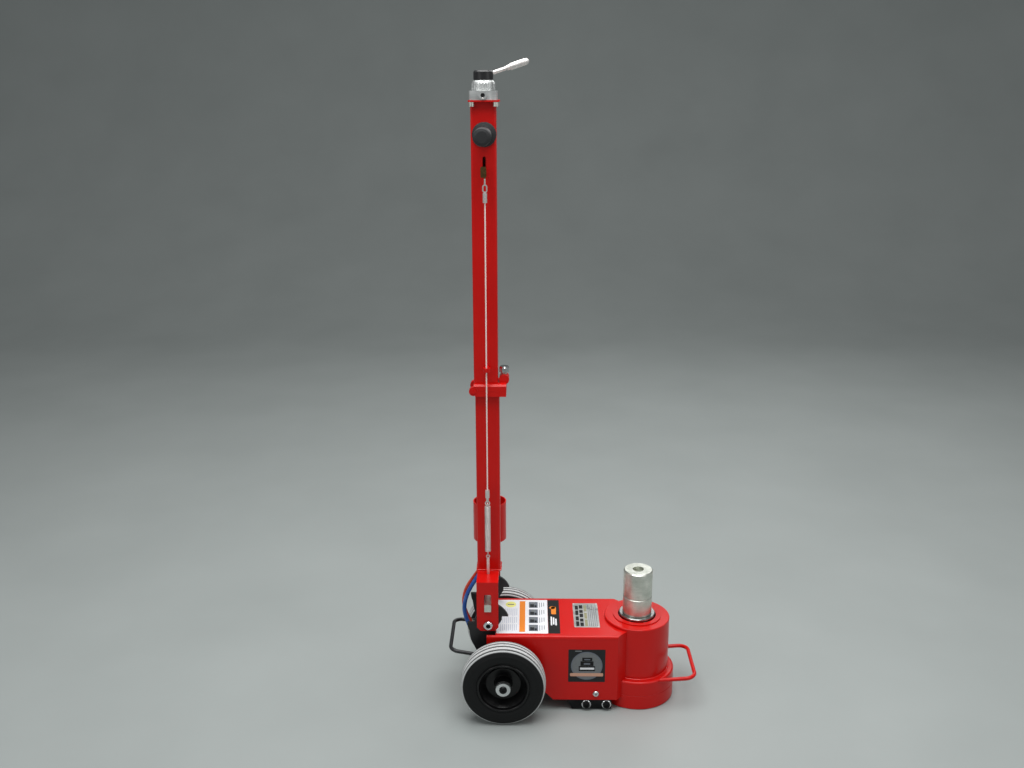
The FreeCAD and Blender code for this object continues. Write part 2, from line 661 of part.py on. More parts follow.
# ---------------------------------------------------------------- lower handle and latch
def yoke():
    """Forked foot of the handle: a top plate and two slotted arms."""
    plate = box(YOKE_X, (-ARM_OUT, ARM_OUT), (YOKE_TOP - YOKE_PLATE, YOKE_TOP))
    cut = 9.0
    arm_outline = [
        (YOKE_X[0], YOKE_TOP - YOKE_PLATE), (YOKE_X[0], ARM_FOOT + cut), (YOKE_X[0] + cut, ARM_FOOT),
        (YOKE_X[1] - cut, ARM_FOOT), (YOKE_X[1], ARM_FOOT + cut), (YOKE_X[1], YOKE_TOP - YOKE_PLATE),
    ]
    arm = sheet_part(arm_outline, (-ARM_OUT, -ARM_IN))
    slot = box((BAR_X - SLOT_W / 2, BAR_X + SLOT_W / 2), (-ARM_OUT - 1, -ARM_IN + 1), SLOT_Z)
    slot = slot.makeFillet(2.5, [e for e in slot.Edges if e.BoundBox.YLength > 1])
    hole = rod((PIVOT_X, -ARM_OUT - 1, PIVOT_Z), (PIVOT_X, -ARM_IN + 1, PIVOT_Z), PIVOT_BOLT_R + FIT)
    arm = arm.cut(slot).cut(hole)
    whole = plate.fuse(arm).fuse(mirrored(arm)).removeSplitter()
    rod_hole = rod((BAR_X, LINE_Y, YOKE_TOP - 7), (BAR_X, LINE_Y, YOKE_TOP + 1), ROD_R + 0.9)
    hose_x, hose_y = (-384.5, -366.0), (-17.0, 21.0)
    hose_hole = box(hose_x, hose_y, (YOKE_TOP - 7, YOKE_TOP + 1))
    return [whole.cut(rod_hole).cut(hose_hole)]


def lower_tube():
    z = (YOKE_TOP + 0.05, SPLIT_Z - SPLIT_GAP)
    return [square_tube(LOWER_TUBE_X, z).cut(square_tube(LOWER_TUBE_X, z, TUBE_WALL))]


def knuckles(y, radius):
    """Both hinge knuckles of one half, between the pair y on the near side and its mirror."""
    return pair(rod((HINGE_X, -y[1], SPLIT_Z), (HINGE_X, -y[0], SPLIT_Z), radius))


def collar_block(x, z):
    """Heavy open collar round three sides of the tube, which spans the pair x."""
    block = box((x[0], COLLAR_RIGHT), (-COLLAR_HALF, COLLAR_HALF), z)
    return block.cut(box((x[0] - 1, x[1] + 0.05), (-TUBE_HALF - 0.05, TUBE_HALF + 0.05), z))


def pin_hole(z, radius):
    return rod((PIN_X, 0, z[0]), (PIN_X, 0, z[1]), radius)


LOWER_KNUCKLE_Y = (27.6, COLLAR_HALF)
UPPER_KNUCKLE_Y = (21.4, 27.3)
HINGE_PIN_R = 3.0


def lower_collar():
    z = (COLLAR_Z[0], SPLIT_Z - SPLIT_GAP)
    block = collar_block(LOWER_TUBE_X, z)
    for clearance in knuckles((21.0, LOWER_KNUCKLE_Y[0] - 0.15), KNUCKLE_R + 0.5):
        block = block.cut(clearance)
    for knuckle in knuckles(LOWER_KNUCKLE_Y, KNUCKLE_R):
        block = block.fuse(knuckle)
    for bore in knuckles((20, COLLAR_HALF + 1), HINGE_PIN_R + FIT):
        block = block.cut(bore)
    return [block.cut(pin_hole((PIN_END - 1.5, SPLIT_Z), PIN_R + 0.9))]


def upper_collar():
    """Upper half of the fold joint, with the cross boss that the lock pin goes through."""
    z = (SPLIT_Z, COLLAR_Z[1])
    block = collar_block(UPPER_TUBE_X, z)
    bevel = 4.0
    top = [e for e in block.Edges if e.BoundBox.ZMin > z[1] - 0.01 and e.BoundBox.YLength < 0.01
           and abs(e.BoundBox.YMin) > COLLAR_HALF - 0.1]
    block = block.makeChamfer(bevel, top)
    boss = rod((PIN_X, -BOSS_HALF, BOSS_Z), (PIN_X, BOSS_HALF, BOSS_Z), BOSS_R)
    block = block.fuse(boss)
    for clearance in knuckles((UPPER_KNUCKLE_Y[1] + 0.15, COLLAR_HALF + 1), KNUCKLE_R + 0.5):
        block = block.cut(clearance)
    for knuckle in knuckles(UPPER_KNUCKLE_Y, KNUCKLE_R):
        block = block.fuse(knuckle)
    for bore in knuckles((20, COLLAR_HALF + 1), HINGE_PIN_R + FIT):
        block = block.cut(bore)
    return [block.cut(pin_hole((SPLIT_Z - 1, BOSS_Z + 20), PIN_R + FIT))]


def fold_pins():
    """Headed hinge pins, one each side of the tube."""
    shank = rod((HINGE_X, -UPPER_KNUCKLE_Y[0], SPLIT_Z), (HINGE_X, -COLLAR_HALF - 0.2, SPLIT_Z), HINGE_PIN_R)
    head = rod((HINGE_X, -COLLAR_HALF - 0.2, SPLIT_Z), (HINGE_X, -COLLAR_HALF - 2.2, SPLIT_Z), 5.5)
    return pair(shank.fuse(head))


def adapter_cup():
    """Open cup on the far side of the handle that stores an adapter."""
    outer_r, wall = 40.0, 2.5
    x, z = -360.0, (382.0, 479.0)
    y = TUBE_HALF + outer_r + 0.2
    cup = rod((x, y, z[0]), (x, y, z[1]), outer_r)
    return [cup.cut(rod((x, y, z[0] + wall), (x, y, z[1] + 1), outer_r - wall))]


def air_lines(z):
    """The two lines inside one half of the handle."""
    lines = []
    wall = 1.5
    for y, radius in zip(LINES_Y, HOSE_R):
        lines.append(tube((LINES_X, y, z[0]), (LINES_X, y, z[1]), radius, radius - wall))
    return lines


def latch_bar():
    """Cross bar that rides on the side plates' heads and drops in behind their hooks."""
    bar = box((BAR_X - BAR_W / 2, BAR_X + BAR_W / 2), (-BAR_HALF, BAR_HALF), BAR_Z)
    bar = bar.makeChamfer(1.0, [e for e in bar.Edges if e.BoundBox.YLength > 100])
    return [bar.cut(rod((BAR_X, LINE_Y, BAR_Z[0] - 1), (BAR_X, LINE_Y, BAR_Z[1] + 1), ROD_R + FIT))]


def latch_rod():
    """Pull rod with an eye at its top end."""
    stem = rod((BAR_X, LINE_Y, BAR_Z[0]), (BAR_X, LINE_Y, ROD_TOP - ROD_EYE_R[0] + 1), ROD_R)
    eye = tube((BAR_X, LINE_Y - 2, ROD_TOP), (BAR_X, LINE_Y + 2, ROD_TOP), *ROD_EYE_R)
    return [stem.fuse(eye).removeSplitter()]


def latch_spring():
    """Envelope of the close-wound tension spring with its end loops."""
    return [tube((BAR_X, LINE_Y, SPRING_Z[0] + 6), (BAR_X, LINE_Y, SPRING_Z[1]), SPRING_R, SPRING_R - 1.8)]


def cable_crimp():
    """Crimped sleeve with a ring that hangs the spring on the cable."""
    sleeve = tube((BAR_X, LINE_Y, CRIMP_Z[0]), (BAR_X, LINE_Y, CRIMP_Z[1]), CRIMP_R, CABLE_R + 0.3)
    neck = rod((BAR_X, LINE_Y, HOOK_Z + HOOK_R[0] - 1), (BAR_X, LINE_Y, CRIMP_Z[0]), CABLE_R + 1.2)
    ring = tube((BAR_X, LINE_Y - 1.5, HOOK_Z), (BAR_X, LINE_Y + 1.5, HOOK_Z), *HOOK_R)
    return [ring.fuse(neck).fuse(sleeve).removeSplitter()]


def release_cable():
    return [rod((BAR_X, LINE_Y, CRIMP_Z[0] + 1), (CABLE_TOP_X, LINE_Y, FERRULE_Z[1] - 1), CABLE_R)]


# ---------------------------------------------------------------- upper handle, release and head
def upper_tube():
    """Box-section tube with the cable's eyelet, the release slot and the flange for the control head."""
    z = (SPLIT_Z, TUBE_TOP)
    tube_wall = square_tube(UPPER_TUBE_X, z).cut(square_tube(UPPER_TUBE_X, z, TUBE_WALL))
    outer, hole = GUIDE_R
    neck_x = (CABLE_TOP_X - 4, CABLE_TOP_X + 4)
    eyelet = rod((CABLE_TOP_X, LINE_Y, GUIDE_Z[0]), (CABLE_TOP_X, LINE_Y, GUIDE_Z[1]), outer)
    eyelet = eyelet.fuse(box(neck_x, (LINE_Y, -TUBE_HALF + 0.5), GUIDE_Z))
    eyelet = eyelet.cut(rod((CABLE_TOP_X, LINE_Y, GUIDE_Z[0] - 1), (CABLE_TOP_X, LINE_Y, GUIDE_Z[1] + 1), hole))
    slot_x = (SLIDE_X - SLIDE_SLOT_HALF, SLIDE_X + SLIDE_SLOT_HALF)
    slot = box(slot_x, (-TUBE_HALF - 1, -TUBE_HALF + TUBE_WALL + 1), SLIDE_SLOT_Z)
    slot = slot.makeFillet(SLIDE_SLOT_HALF - 0.1, [e for e in slot.Edges if e.BoundBox.YLength > 1])
    flange = box(FLANGE_X, (-FLANGE_HALF, FLANGE_HALF), (TUBE_TOP, TUBE_TOP + FLANGE_T))
    flange = flange.cut(square_tube(UPPER_TUBE_X, (TUBE_TOP, TUBE_TOP + FLANGE_T + 1), TUBE_WALL))
    low, high = TUBE_TOP - 1, TUBE_TOP + FLANGE_T + 1
    for x in HEAD_BOLT_X:
        for y in (-HEAD_BOLT_Y, HEAD_BOLT_Y):
            flange = flange.cut(rod((x, y, low), (x, y, high), HEAD_BOLT_R + 0.2))
    cross_hole = rod((BAR_X, -TUBE_HALF - 1, GRIP_Z), (BAR_X, TUBE_HALF + 1, GRIP_Z), T_BAR_R + TOUCH)
    return [tube_wall.cut(slot).cut(cross_hole).fuse(eyelet).fuse(flange).removeSplitter()]


def t_bar():
    return [tube((BAR_X, -GRIP_END + 6, GRIP_Z), (BAR_X, GRIP_END - 6, GRIP_Z), T_BAR_R, T_BAR_R - 3)]


def hand_grips():
    """Moulded grips with a hand guard at the tube and a swollen outer end."""
    bore = T_BAR_R + TOUCH
    start = TUBE_HALF + 0.5
    length = GRIP_END - start
    profile = [(bore, 0), (24.5, 0), (26, 1.5), (26, 3.5), (24.5, 5), (18, 7), (16, 11), (16.6, 30), (17.4, 45),
               (16.8, 62), (16.2, 78), (17.5, 90), (19, 98), (19, length - 6), (17, length - 1.5), (12, length),
               (0, length), (0, length - 5.5), (bore, length - 5.5)]
    return pair(turned(profile, (BAR_X, -start, GRIP_Z), -Y_AXIS))


def head_bolts():
    """Four screws up through the flange into the valve block."""
    bolts = []
    for x in HEAD_BOLT_X:
        shank = rod((x, -HEAD_BOLT_Y, TUBE_TOP - 1), (x, -HEAD_BOLT_Y, TUBE_TOP + 3.4), HEAD_BOLT_R)
        head = rod((x, -HEAD_BOLT_Y, TUBE_TOP - 9.5), (x, -HEAD_BOLT_Y, TUBE_TOP - 0.1), 2 * HEAD_BOLT_R)
        bolts += pair(shank.fuse(head))
    return bolts


def valve_block():
    """Aluminium block with the air inlet boss on its near face."""
    block = box((HEAD_X - BLOCK_HALF, HEAD_X + BLOCK_HALF), (-BLOCK_HALF - 4, BLOCK_HALF + 4), BLOCK_Z)
    block = block.makeChamfer(2.0, [e for e in block.Edges if e.BoundBox.ZLength > 5])
    face = -BLOCK_HALF - 4
    boss = rod((HEAD_X, face + 1, INLET_Z), (HEAD_X, face - 5, INLET_Z), 8.6)
    hole = rod((HEAD_X, face - 5, INLET_Z), (HEAD_X, face - 5 + INLET_DEPTH, INLET_Z), INLET_R)
    return [block.fuse(boss).cut(hole).removeSplitter()]


def bonnet():
    """Fluted round cover over the control valve."""
    low, high = BONNET_Z
    profile = [(0, low), (BONNET_R, low), (BONNET_R, high - 7), (BONNET_R - 1.5, high - 3),
               (BONNET_R - 4, high - 1), (CAP_KNOB_R - 1, high), (0, high)]
    cover = turned(profile, (HEAD_X, 0, 0))
    flutes = 24
    for i in range(flutes):
        angle = 2 * math.pi * i / flutes
        x, y = HEAD_X + (BONNET_R + 0.9) * math.cos(angle), (BONNET_R + 0.9) * math.sin(angle)
        cover = cover.cut(rod((x, y, low + 2), (x, y, high + 1), 1.9))
    return [cover]


def selector_cap():
    """Round cap that turns with the lever."""
    low, high = CAP_KNOB_Z
    profile = [(0, low), (CAP_KNOB_R - 1, low), (CAP_KNOB_R, low + 1), (CAP_KNOB_R, high - 3),
               (CAP_KNOB_R - 3, high), (0, high)]
    return [turned(profile, (HEAD_X, 0, 0))]


def control_lever():
    """Stepped lever with a round-ended sleeve, rising away from the cap."""
    start = Vec(HEAD_X + 15, 0, CAP_KNOB_Z[0] + 12.6)
    heading = Vec(math.cos(math.radians(LEVER_RISE)), 0, math.sin(math.radians(LEVER_RISE)))
    profile = [(0, 0), (4, 0), (4, 36), (5.5, 36.5), (5.5, 44), (7.2, 45), (7.2, 78), (6.4, 81.5), (4.5, 84),
               (2.2, 85.2), (0, 85.5)]
    lever = turned(profile, (start.x, start.y, start.z), heading)
    cap = rod((HEAD_X, 0, CAP_KNOB_Z[0] - 5), (HEAD_X, 0, CAP_KNOB_Z[1] + 5), CAP_KNOB_R + TOUCH)
    return [lever.cut(cap)]


def release_slider():
    """Block inside the tube that carries the release bolt."""
    x = SLIDE_X
    block = box((x - 8, x + 9), (-TUBE_HALF + TUBE_WALL + 0.4, -6), (SLIDE_BOLT_Z - 10, SLIDE_BOLT_Z + 10))
    return [block.cut(rod((x, -TUBE_HALF, SLIDE_BOLT_Z), (x, 0, SLIDE_BOLT_Z), SLIDE_BOLT_R + FIT))]


def long_link(z, radius):
    """Round-ended flat bar on the cable's line, between the pair z."""
    low, high = z[0] + radius, z[1] - radius
    y = (LINE_Y - 1.8, LINE_Y + 1.8)
    bar = box((CABLE_TOP_X - radius, CABLE_TOP_X + radius), y, (low, high))
    for end in (low, high):
        bar = bar.fuse(rod((CABLE_TOP_X, y[0], end), (CABLE_TOP_X, y[1], end), radius))
    return bar


def release_bolt():
    """Headed bolt through the slot, with the link, the eye and the ferrule that hang the cable on it."""
    x = SLIDE_X
    plate_y = (LINE_Y - 2, LINE_Y + 2)
    bolt = rod((x, -6, SLIDE_BOLT_Z), (x, -TUBE_HALF - 6, SLIDE_BOLT_Z), SLIDE_BOLT_R)
    spacer = rod((x, plate_y[1], SLIDE_BOLT_Z), (x, -TUBE_HALF - 0.4, SLIDE_BOLT_Z), SLIDE_HEAD_R - 1)
    head = rod((x, plate_y[0] - 3, SLIDE_BOLT_Z), (x, plate_y[0], SLIDE_BOLT_Z), SLIDE_HEAD_R)
    link = box(LINK_X, plate_y, LINK_Z)
    link = link.makeFillet(3.0, [e for e in link.Edges if e.BoundBox.YLength > 1])
    hanger = rod((CABLE_TOP_X, LINE_Y, EYE_Z[1] - 1), (CABLE_TOP_X, LINE_Y, LINK_Z[0] + 1), CABLE_R - 0.2)
    eye_wall = 2.8
    eye = long_link(EYE_Z, EYE_R).cut(long_link((EYE_Z[0] + eye_wall, EYE_Z[1] - eye_wall), EYE_R - eye_wall))
    low, high = FERRULE_Z
    ferrule = tube((CABLE_TOP_X, LINE_Y, low), (CABLE_TOP_X, LINE_Y, high), CRIMP_R, CABLE_R + 0.3)
    neck = rod((CABLE_TOP_X, LINE_Y, high), (CABLE_TOP_X, LINE_Y, EYE_Z[0] + 2), 3.4)
    body = bolt.fuse(spacer).fuse(head).fuse(link).fuse(hanger).fuse(eye).fuse(neck).fuse(ferrule)
    return [body.removeSplitter()]


def pin_washer():
    return [tube((PIN_X, 0, BOSS_Z + BOSS_R + 0.3), (PIN_X, 0, KNOB_Z[0] - 0.1), 7.0, PIN_R + FIT)]


def lock_pin():
    """Pull-out pin that locks the fold joint, with its fluted knob."""
    knob_low, knob_high = KNOB_Z
    profile = [(0, PIN_END), (PIN_R - 1, PIN_END), (PIN_R, PIN_END + 1.5), (PIN_R, knob_low),
               (KNOB_R - 1, knob_low),
               (KNOB_R, knob_low + 1), (KNOB_R, knob_high - 3), (KNOB_R - 2, knob_high), (0, knob_high)]
    pin = turned(profile, (PIN_X, 0, 0))
    flutes = 16
    for i in range(flutes):
        angle = 2 * math.pi * i / flutes
        x, y = PIN_X + (KNOB_R + 0.4) * math.cos(angle), (KNOB_R + 0.4) * math.sin(angle)
        pin = pin.cut(rod((x, y, knob_low - 1), (x, y, knob_high - 4), 1.2))
    return [pin]


def hose(number):
    """Air line from the frame's fitting up into the yoke."""
    points = [(x, HOSE_Y[number], z) for x, z in HOSE_ROUTES[number]]
    radii = route_radii(points)
    wire = path_wire(points, radii)
    solid = swept(wire, HOSE_R[number])
    section = math.pi * HOSE_R[number] ** 2
    print(f"hose {number}: length {wire.Length:.1f} radii {[round(r) for r in radii]}"
          f" volume share {solid.Volume / (section * wire.Length):.4f}")
    return [solid]


# ---------------------------------------------------------------- nodes
NODES = {
    "base_plate": base_plate(),
    "base_collar": base_collar(),
    "cylinder_shell": cylinder_shell(),
    "pressure_tube": pressure_tube(),
    "cylinder_cap": cylinder_cap(),
    "wiper_seal": wiper_seal(),
    "ram_stage_1": ram_stage(0),
    "ram_stage_2": ram_stage(1),
    "ram_stage_3": ram_stage_3(),
    "piston_seal": piston_seal(),
    "adapter_short": adapter(SADDLE_TOP, ADAPTER_TOPS[0]),
    "adapter_tall": adapter(*ADAPTER_TOPS),
    "front_handle": front_handle(),
    "tank_shell": tank_shell(),
    "frame_plates": pair(frame_plate()),
    "cross_plate": cross_plate(),
    "axle": axle(),
    "axle_washers": axle_washers(),
    "axle_bolts": axle_bolts(),
    "pivot_bolts": pivot_bolts(),
    "rear_handle": rear_handle(),
    "pump_block": pump_block(),
    "side_plugs": side_plugs(),
    "hose_fittings": hose_fittings(),
    "air_motor_cylinder": air_motor_cylinder(),
    "air_piston": air_piston(),
    "return_spring": return_spring(),
    "yoke": yoke(),
    "lower_tube": lower_tube(),
    "lower_collar": lower_collar(),
    "fold_pins": fold_pins(),
    "adapter_cup": adapter_cup(),
    "air_lines_lower": air_lines((YOKE_TOP + 2, SPLIT_Z - 2)),
    "latch_bar": latch_bar(),
    "latch_rod": latch_rod(),
    "latch_spring": latch_spring(),
    "cable_crimp": cable_crimp(),
    "release_cable": release_cable(),
    "upper_tube": upper_tube(),
    "upper_collar": upper_collar(),
    "air_lines_upper": air_lines((SPLIT_Z + 2, TUBE_TOP - 1)),
    "t_bar": t_bar(),
    "hand_grips": hand_grips(),
    "head_bolts": head_bolts(),
    "valve_block": valve_block(),
    "bonnet": bonnet(),
    "selector_cap": selector_cap(),
    "control_lever": control_lever(),
    "release_slider": release_slider(),
    "release_bolt": release_bolt(),
    "pin_washer": pin_washer(),
    "lock_pin": lock_pin(),
    "hose_blue": hose(0),
    "hose_red": hose(1),
}
for name, side in (("near", -1), ("far", 1)):
    NODES[f"tyre_{name}"] = tyre(side)
    NODES[f"rim_{name}"] = rim(side)
    NODES[f"bearings_{name}"] = wheel_bearings(side)

os.makedirs("parts", exist_ok=True)
for node, solids in NODES.items():
    for solid in solids:
        if not (solid.isValid() and solid.isClosed() and solid.Volume > 0):
            print("needs repair:", node, solid.isValid(), solid.isClosed(), round(solid.Volume))
        if len(solid.Solids) != 1:
            print("not one solid:", node, len(solid.Solids))
    shape = solids[0] if len(solids) == 1 else Part.makeCompound(solids)
    shape.exportStep(f"parts/{node}.step")
print(len(NODES), "nodes")
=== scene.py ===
import math

import bpy
from mathutils import Matrix, Vector


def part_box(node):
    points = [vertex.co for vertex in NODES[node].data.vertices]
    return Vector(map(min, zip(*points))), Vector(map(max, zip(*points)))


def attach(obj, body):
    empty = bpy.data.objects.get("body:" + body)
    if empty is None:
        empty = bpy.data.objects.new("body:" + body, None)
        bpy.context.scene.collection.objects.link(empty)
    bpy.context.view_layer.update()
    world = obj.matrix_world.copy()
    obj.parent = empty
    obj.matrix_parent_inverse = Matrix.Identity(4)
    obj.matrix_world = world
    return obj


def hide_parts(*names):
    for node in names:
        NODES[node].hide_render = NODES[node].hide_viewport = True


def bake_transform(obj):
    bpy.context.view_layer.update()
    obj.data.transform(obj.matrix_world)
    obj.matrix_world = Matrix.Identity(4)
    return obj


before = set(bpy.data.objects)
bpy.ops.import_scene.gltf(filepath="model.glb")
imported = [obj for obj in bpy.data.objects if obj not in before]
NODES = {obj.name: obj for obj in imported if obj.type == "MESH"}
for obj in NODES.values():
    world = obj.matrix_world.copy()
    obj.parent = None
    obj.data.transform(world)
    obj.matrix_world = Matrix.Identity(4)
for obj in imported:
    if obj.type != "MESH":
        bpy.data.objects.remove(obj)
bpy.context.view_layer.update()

MM = 0.001
QUARTER = math.pi / 2

# ---------------------------------------------------------------- camera
CAMERA_PLACE = (-0.2639, -2.2807, 1.4547)
CAMERA_PITCH = math.radians(90 - 16.2)
CAMERA_YAW = math.radians(1.0)
CAMERA_ROLL = -0.003
LENS = 36.41
SENSOR = 36.0

camera_data = bpy.data.cameras.new("camera")
camera_data.lens = LENS
camera_data.sensor_width = SENSOR
camera = bpy.data.objects.new("camera", camera_data)
bpy.context.scene.collection.objects.link(camera)
camera.matrix_world = (
    Matrix.Translation(CAMERA_PLACE)
    @ Matrix.Rotation(CAMERA_YAW, 4, "Z")
    @ Matrix.Rotation(CAMERA_PITCH, 4, "X")
    @ Matrix.Rotation(CAMERA_ROLL, 4, "Z")
)
bpy.context.scene.camera = camera


# ---------------------------------------------------------------- material helpers
def linear(hex_colour):
    """sRGB hex to the linear colour that sockets take."""
    channels = [int(hex_colour[i:i + 2], 16) / 255 for i in (0, 2, 4)]
    return tuple(c / 12.92 if c <= 0.04045 else ((c + 0.055) / 1.055) ** 2.4 for c in channels) + (1.0,)


def set_inputs(node, inputs):
    """Links each socket to the output given for it, or sets it to the value given."""
    for socket, value in inputs.items():
        if isinstance(value, bpy.types.NodeSocket):
            node.id_data.links.new(value, node.inputs[socket])
        else:
            node.inputs[socket].default_value = value


def add_node(material, kind, inputs, **settings):
    """Adds a node with its settings, and feeds its inputs."""
    node = material.node_tree.nodes.new(kind)
    for name, value in settings.items():
        setattr(node, name, value)
    set_inputs(node, inputs)
    return node


def new_finish(name):
    """An empty material, its surface shader and the place on the object that patterns read."""
    material = bpy.data.materials.new(name)
    material.use_nodes = True
    shader = material.node_tree.nodes["Principled BSDF"]
    place = add_node(material, "ShaderNodeTexCoord", {}).outputs["Object"]
    return material, shader, place


MIX_A, MIX_B, MIX_OUT = 6, 7, 2

# The tread falls by CROWN from its middle to its sides, and what stands above RIB_LEVEL is rib.
CROWN = 5 * MM
RIB_LEVEL = 98.2 * MM
RIB_EDGE = 0.6 * MM
# The rings moulded in the side of the tyre stand this far apart.
RING_STEP = 7.5 * MM


# ---------------------------------------------------------------- materials
PEEL_MM = 2.4


def gloss_enamel(name, body_hex, deep_hex, roughness, coat):
    """Stoved gloss enamel on pressed steel: a slow drift of colour, an orange peel that ripples
    the reflections, and faint handling smudges that dull the gloss."""
    material, shader, place = new_finish(name)
    drift = add_node(material, "ShaderNodeTexNoise", {
        "Vector": place, "Scale": 1 / (140 * MM), "Detail": 3.0,
    })
    colour = add_node(material, "ShaderNodeMix", {
        0: drift.outputs["Fac"], MIX_A: linear(body_hex), MIX_B: linear(deep_hex),
    }, data_type="RGBA")
    smudges = add_node(material, "ShaderNodeTexNoise", {
        "Vector": place, "Scale": 1 / (38 * MM), "Detail": 5.0, "Roughness": 0.55,
    })
    gloss = add_node(material, "ShaderNodeMapRange", {
        "Value": smudges.outputs["Fac"], "From Min": 0.45, "From Max": 0.7,
        "To Min": roughness, "To Max": roughness + 0.1,
    })
    peel = add_node(material, "ShaderNodeTexNoise", {
        "Vector": place, "Scale": 1 / (PEEL_MM * MM), "Detail": 1.5,
    })
    relief = add_node(material, "ShaderNodeBump", {
        "Height": peel.outputs["Fac"], "Strength": 0.3, "Distance": 0.03 * MM,
    })
    set_inputs(shader, {
        "Base Color": colour.outputs[MIX_OUT], "Roughness": gloss.outputs[0], "Normal": relief.outputs[0],
        "Specular IOR Level": 0.25, "Coat Weight": coat, "Coat Roughness": 0.08,
    })
    return material


def satin_paint():
    """Satin black paint over cut plate: grey where the light grazes it, with the grain of the
    mill scale showing through as a fine mottle."""
    material, shader, place = new_finish("satin_black_paint")
    mottle = add_node(material, "ShaderNodeTexNoise", {"Vector": place, "Scale": 1 / (9 * MM), "Detail": 6.0})
    colour = add_node(material, "ShaderNodeMix", {
        0: mottle.outputs["Fac"], MIX_A: linear("131416"), MIX_B: linear("222325"),
    }, data_type="RGBA")
    grain = add_node(material, "ShaderNodeTexNoise", {
        "Vector": place, "Scale": 1 / (1.1 * MM), "Detail": 2.0,
    })
    relief = add_node(material, "ShaderNodeBump", {
        "Height": grain.outputs["Fac"], "Strength": 0.5, "Distance": 0.08 * MM,
    })
    gloss = add_node(material, "ShaderNodeMapRange", {
        "Value": mottle.outputs["Fac"], "To Min": 0.3, "To Max": 0.48,
    })
    set_inputs(shader, {
        "Base Color": colour.outputs[MIX_OUT], "Roughness": gloss.outputs[0], "Normal": relief.outputs[0],
        "IOR": 1.5,
    })
    return material


def tyre_rubber(name, hub, half_width):
    """Vulcanised carbon-black rubber: a matt near-black side with moulded rings, and a crowned
    tread whose ribs are coloured pale grey between dark grooves."""
    material, shader, place = new_finish(name)
    centred = add_node(material, "ShaderNodeVectorMath", {0: place, 1: hub}, operation="SUBTRACT")
    flat = add_node(material, "ShaderNodeVectorMath", {
        0: centred.outputs[0], 1: (1.0, 0.0, 1.0),
    }, operation="MULTIPLY")
    radius = add_node(material, "ShaderNodeVectorMath", {0: flat.outputs[0]}, operation="LENGTH")
    parts = add_node(material, "ShaderNodeSeparateXYZ", {0: centred.outputs[0]})
    across = add_node(material, "ShaderNodeMath", {
        0: parts.outputs["Y"], 1: half_width,
    }, operation="DIVIDE")
    square = add_node(material, "ShaderNodeMath", {
        0: across.outputs[0], 1: across.outputs[0],
    }, operation="MULTIPLY")
    level = add_node(material, "ShaderNodeMath", {
        0: square.outputs[0], 1: CROWN, 2: radius.outputs["Value"],
    }, operation="MULTIPLY_ADD")
    rib = add_node(material, "ShaderNodeMapRange", {
        "Value": level.outputs[0], "From Min": RIB_LEVEL - RIB_EDGE, "From Max": RIB_LEVEL + RIB_EDGE,
    })
    rubber_tone_noise = add_node(material, "ShaderNodeTexNoise", {
        "Vector": place, "Scale": 1 / (11 * MM), "Detail": 7.0, "Roughness": 0.7,
    })
    side = add_node(material, "ShaderNodeMix", {
        0: rubber_tone_noise.outputs["Fac"], MIX_A: linear("070808"), MIX_B: linear("0F1112"),
    }, data_type="RGBA")
    # The ribs above RIB_LEVEL are coloured pale grey; the grooves and the sides keep the near-black colour.
    pale_rib_colour = add_node(material, "ShaderNodeMix", {
        0: rubber_tone_noise.outputs["Fac"], MIX_A: linear("A9ABAB"), MIX_B: linear("D6D8D7"),
    }, data_type="RGBA")
    colour = add_node(material, "ShaderNodeMix", {
        0: rib.outputs[0], MIX_A: side.outputs[MIX_OUT], MIX_B: pale_rib_colour.outputs[MIX_OUT],
    }, data_type="RGBA")
    rings = add_node(material, "ShaderNodeMath", {
        0: radius.outputs["Value"], 1: 2 * math.pi / RING_STEP,
    }, operation="MULTIPLY")
    wave = add_node(material, "ShaderNodeMath", {0: rings.outputs[0]}, operation="SINE")
    crest = add_node(material, "ShaderNodeMath", {0: wave.outputs[0], 1: 0.86}, operation="GREATER_THAN")
    pores = add_node(material, "ShaderNodeTexNoise", {
        "Vector": place, "Scale": 1 / (0.9 * MM), "Detail": 2.0,
    })
    height = add_node(material, "ShaderNodeMath", {
        0: crest.outputs[0], 1: 0.5, 2: pores.outputs["Fac"],
    }, operation="MULTIPLY_ADD")
    relief = add_node(material, "ShaderNodeBump", {
        "Height": height.outputs[0], "Strength": 0.6, "Distance": 0.25 * MM,
    })
    set_inputs(shader, {
        "Base Color": colour.outputs[MIX_OUT], "Roughness": 0.7, "Normal": relief.outputs[0],
        "Specular IOR Level": 0.3,
    })
    return material


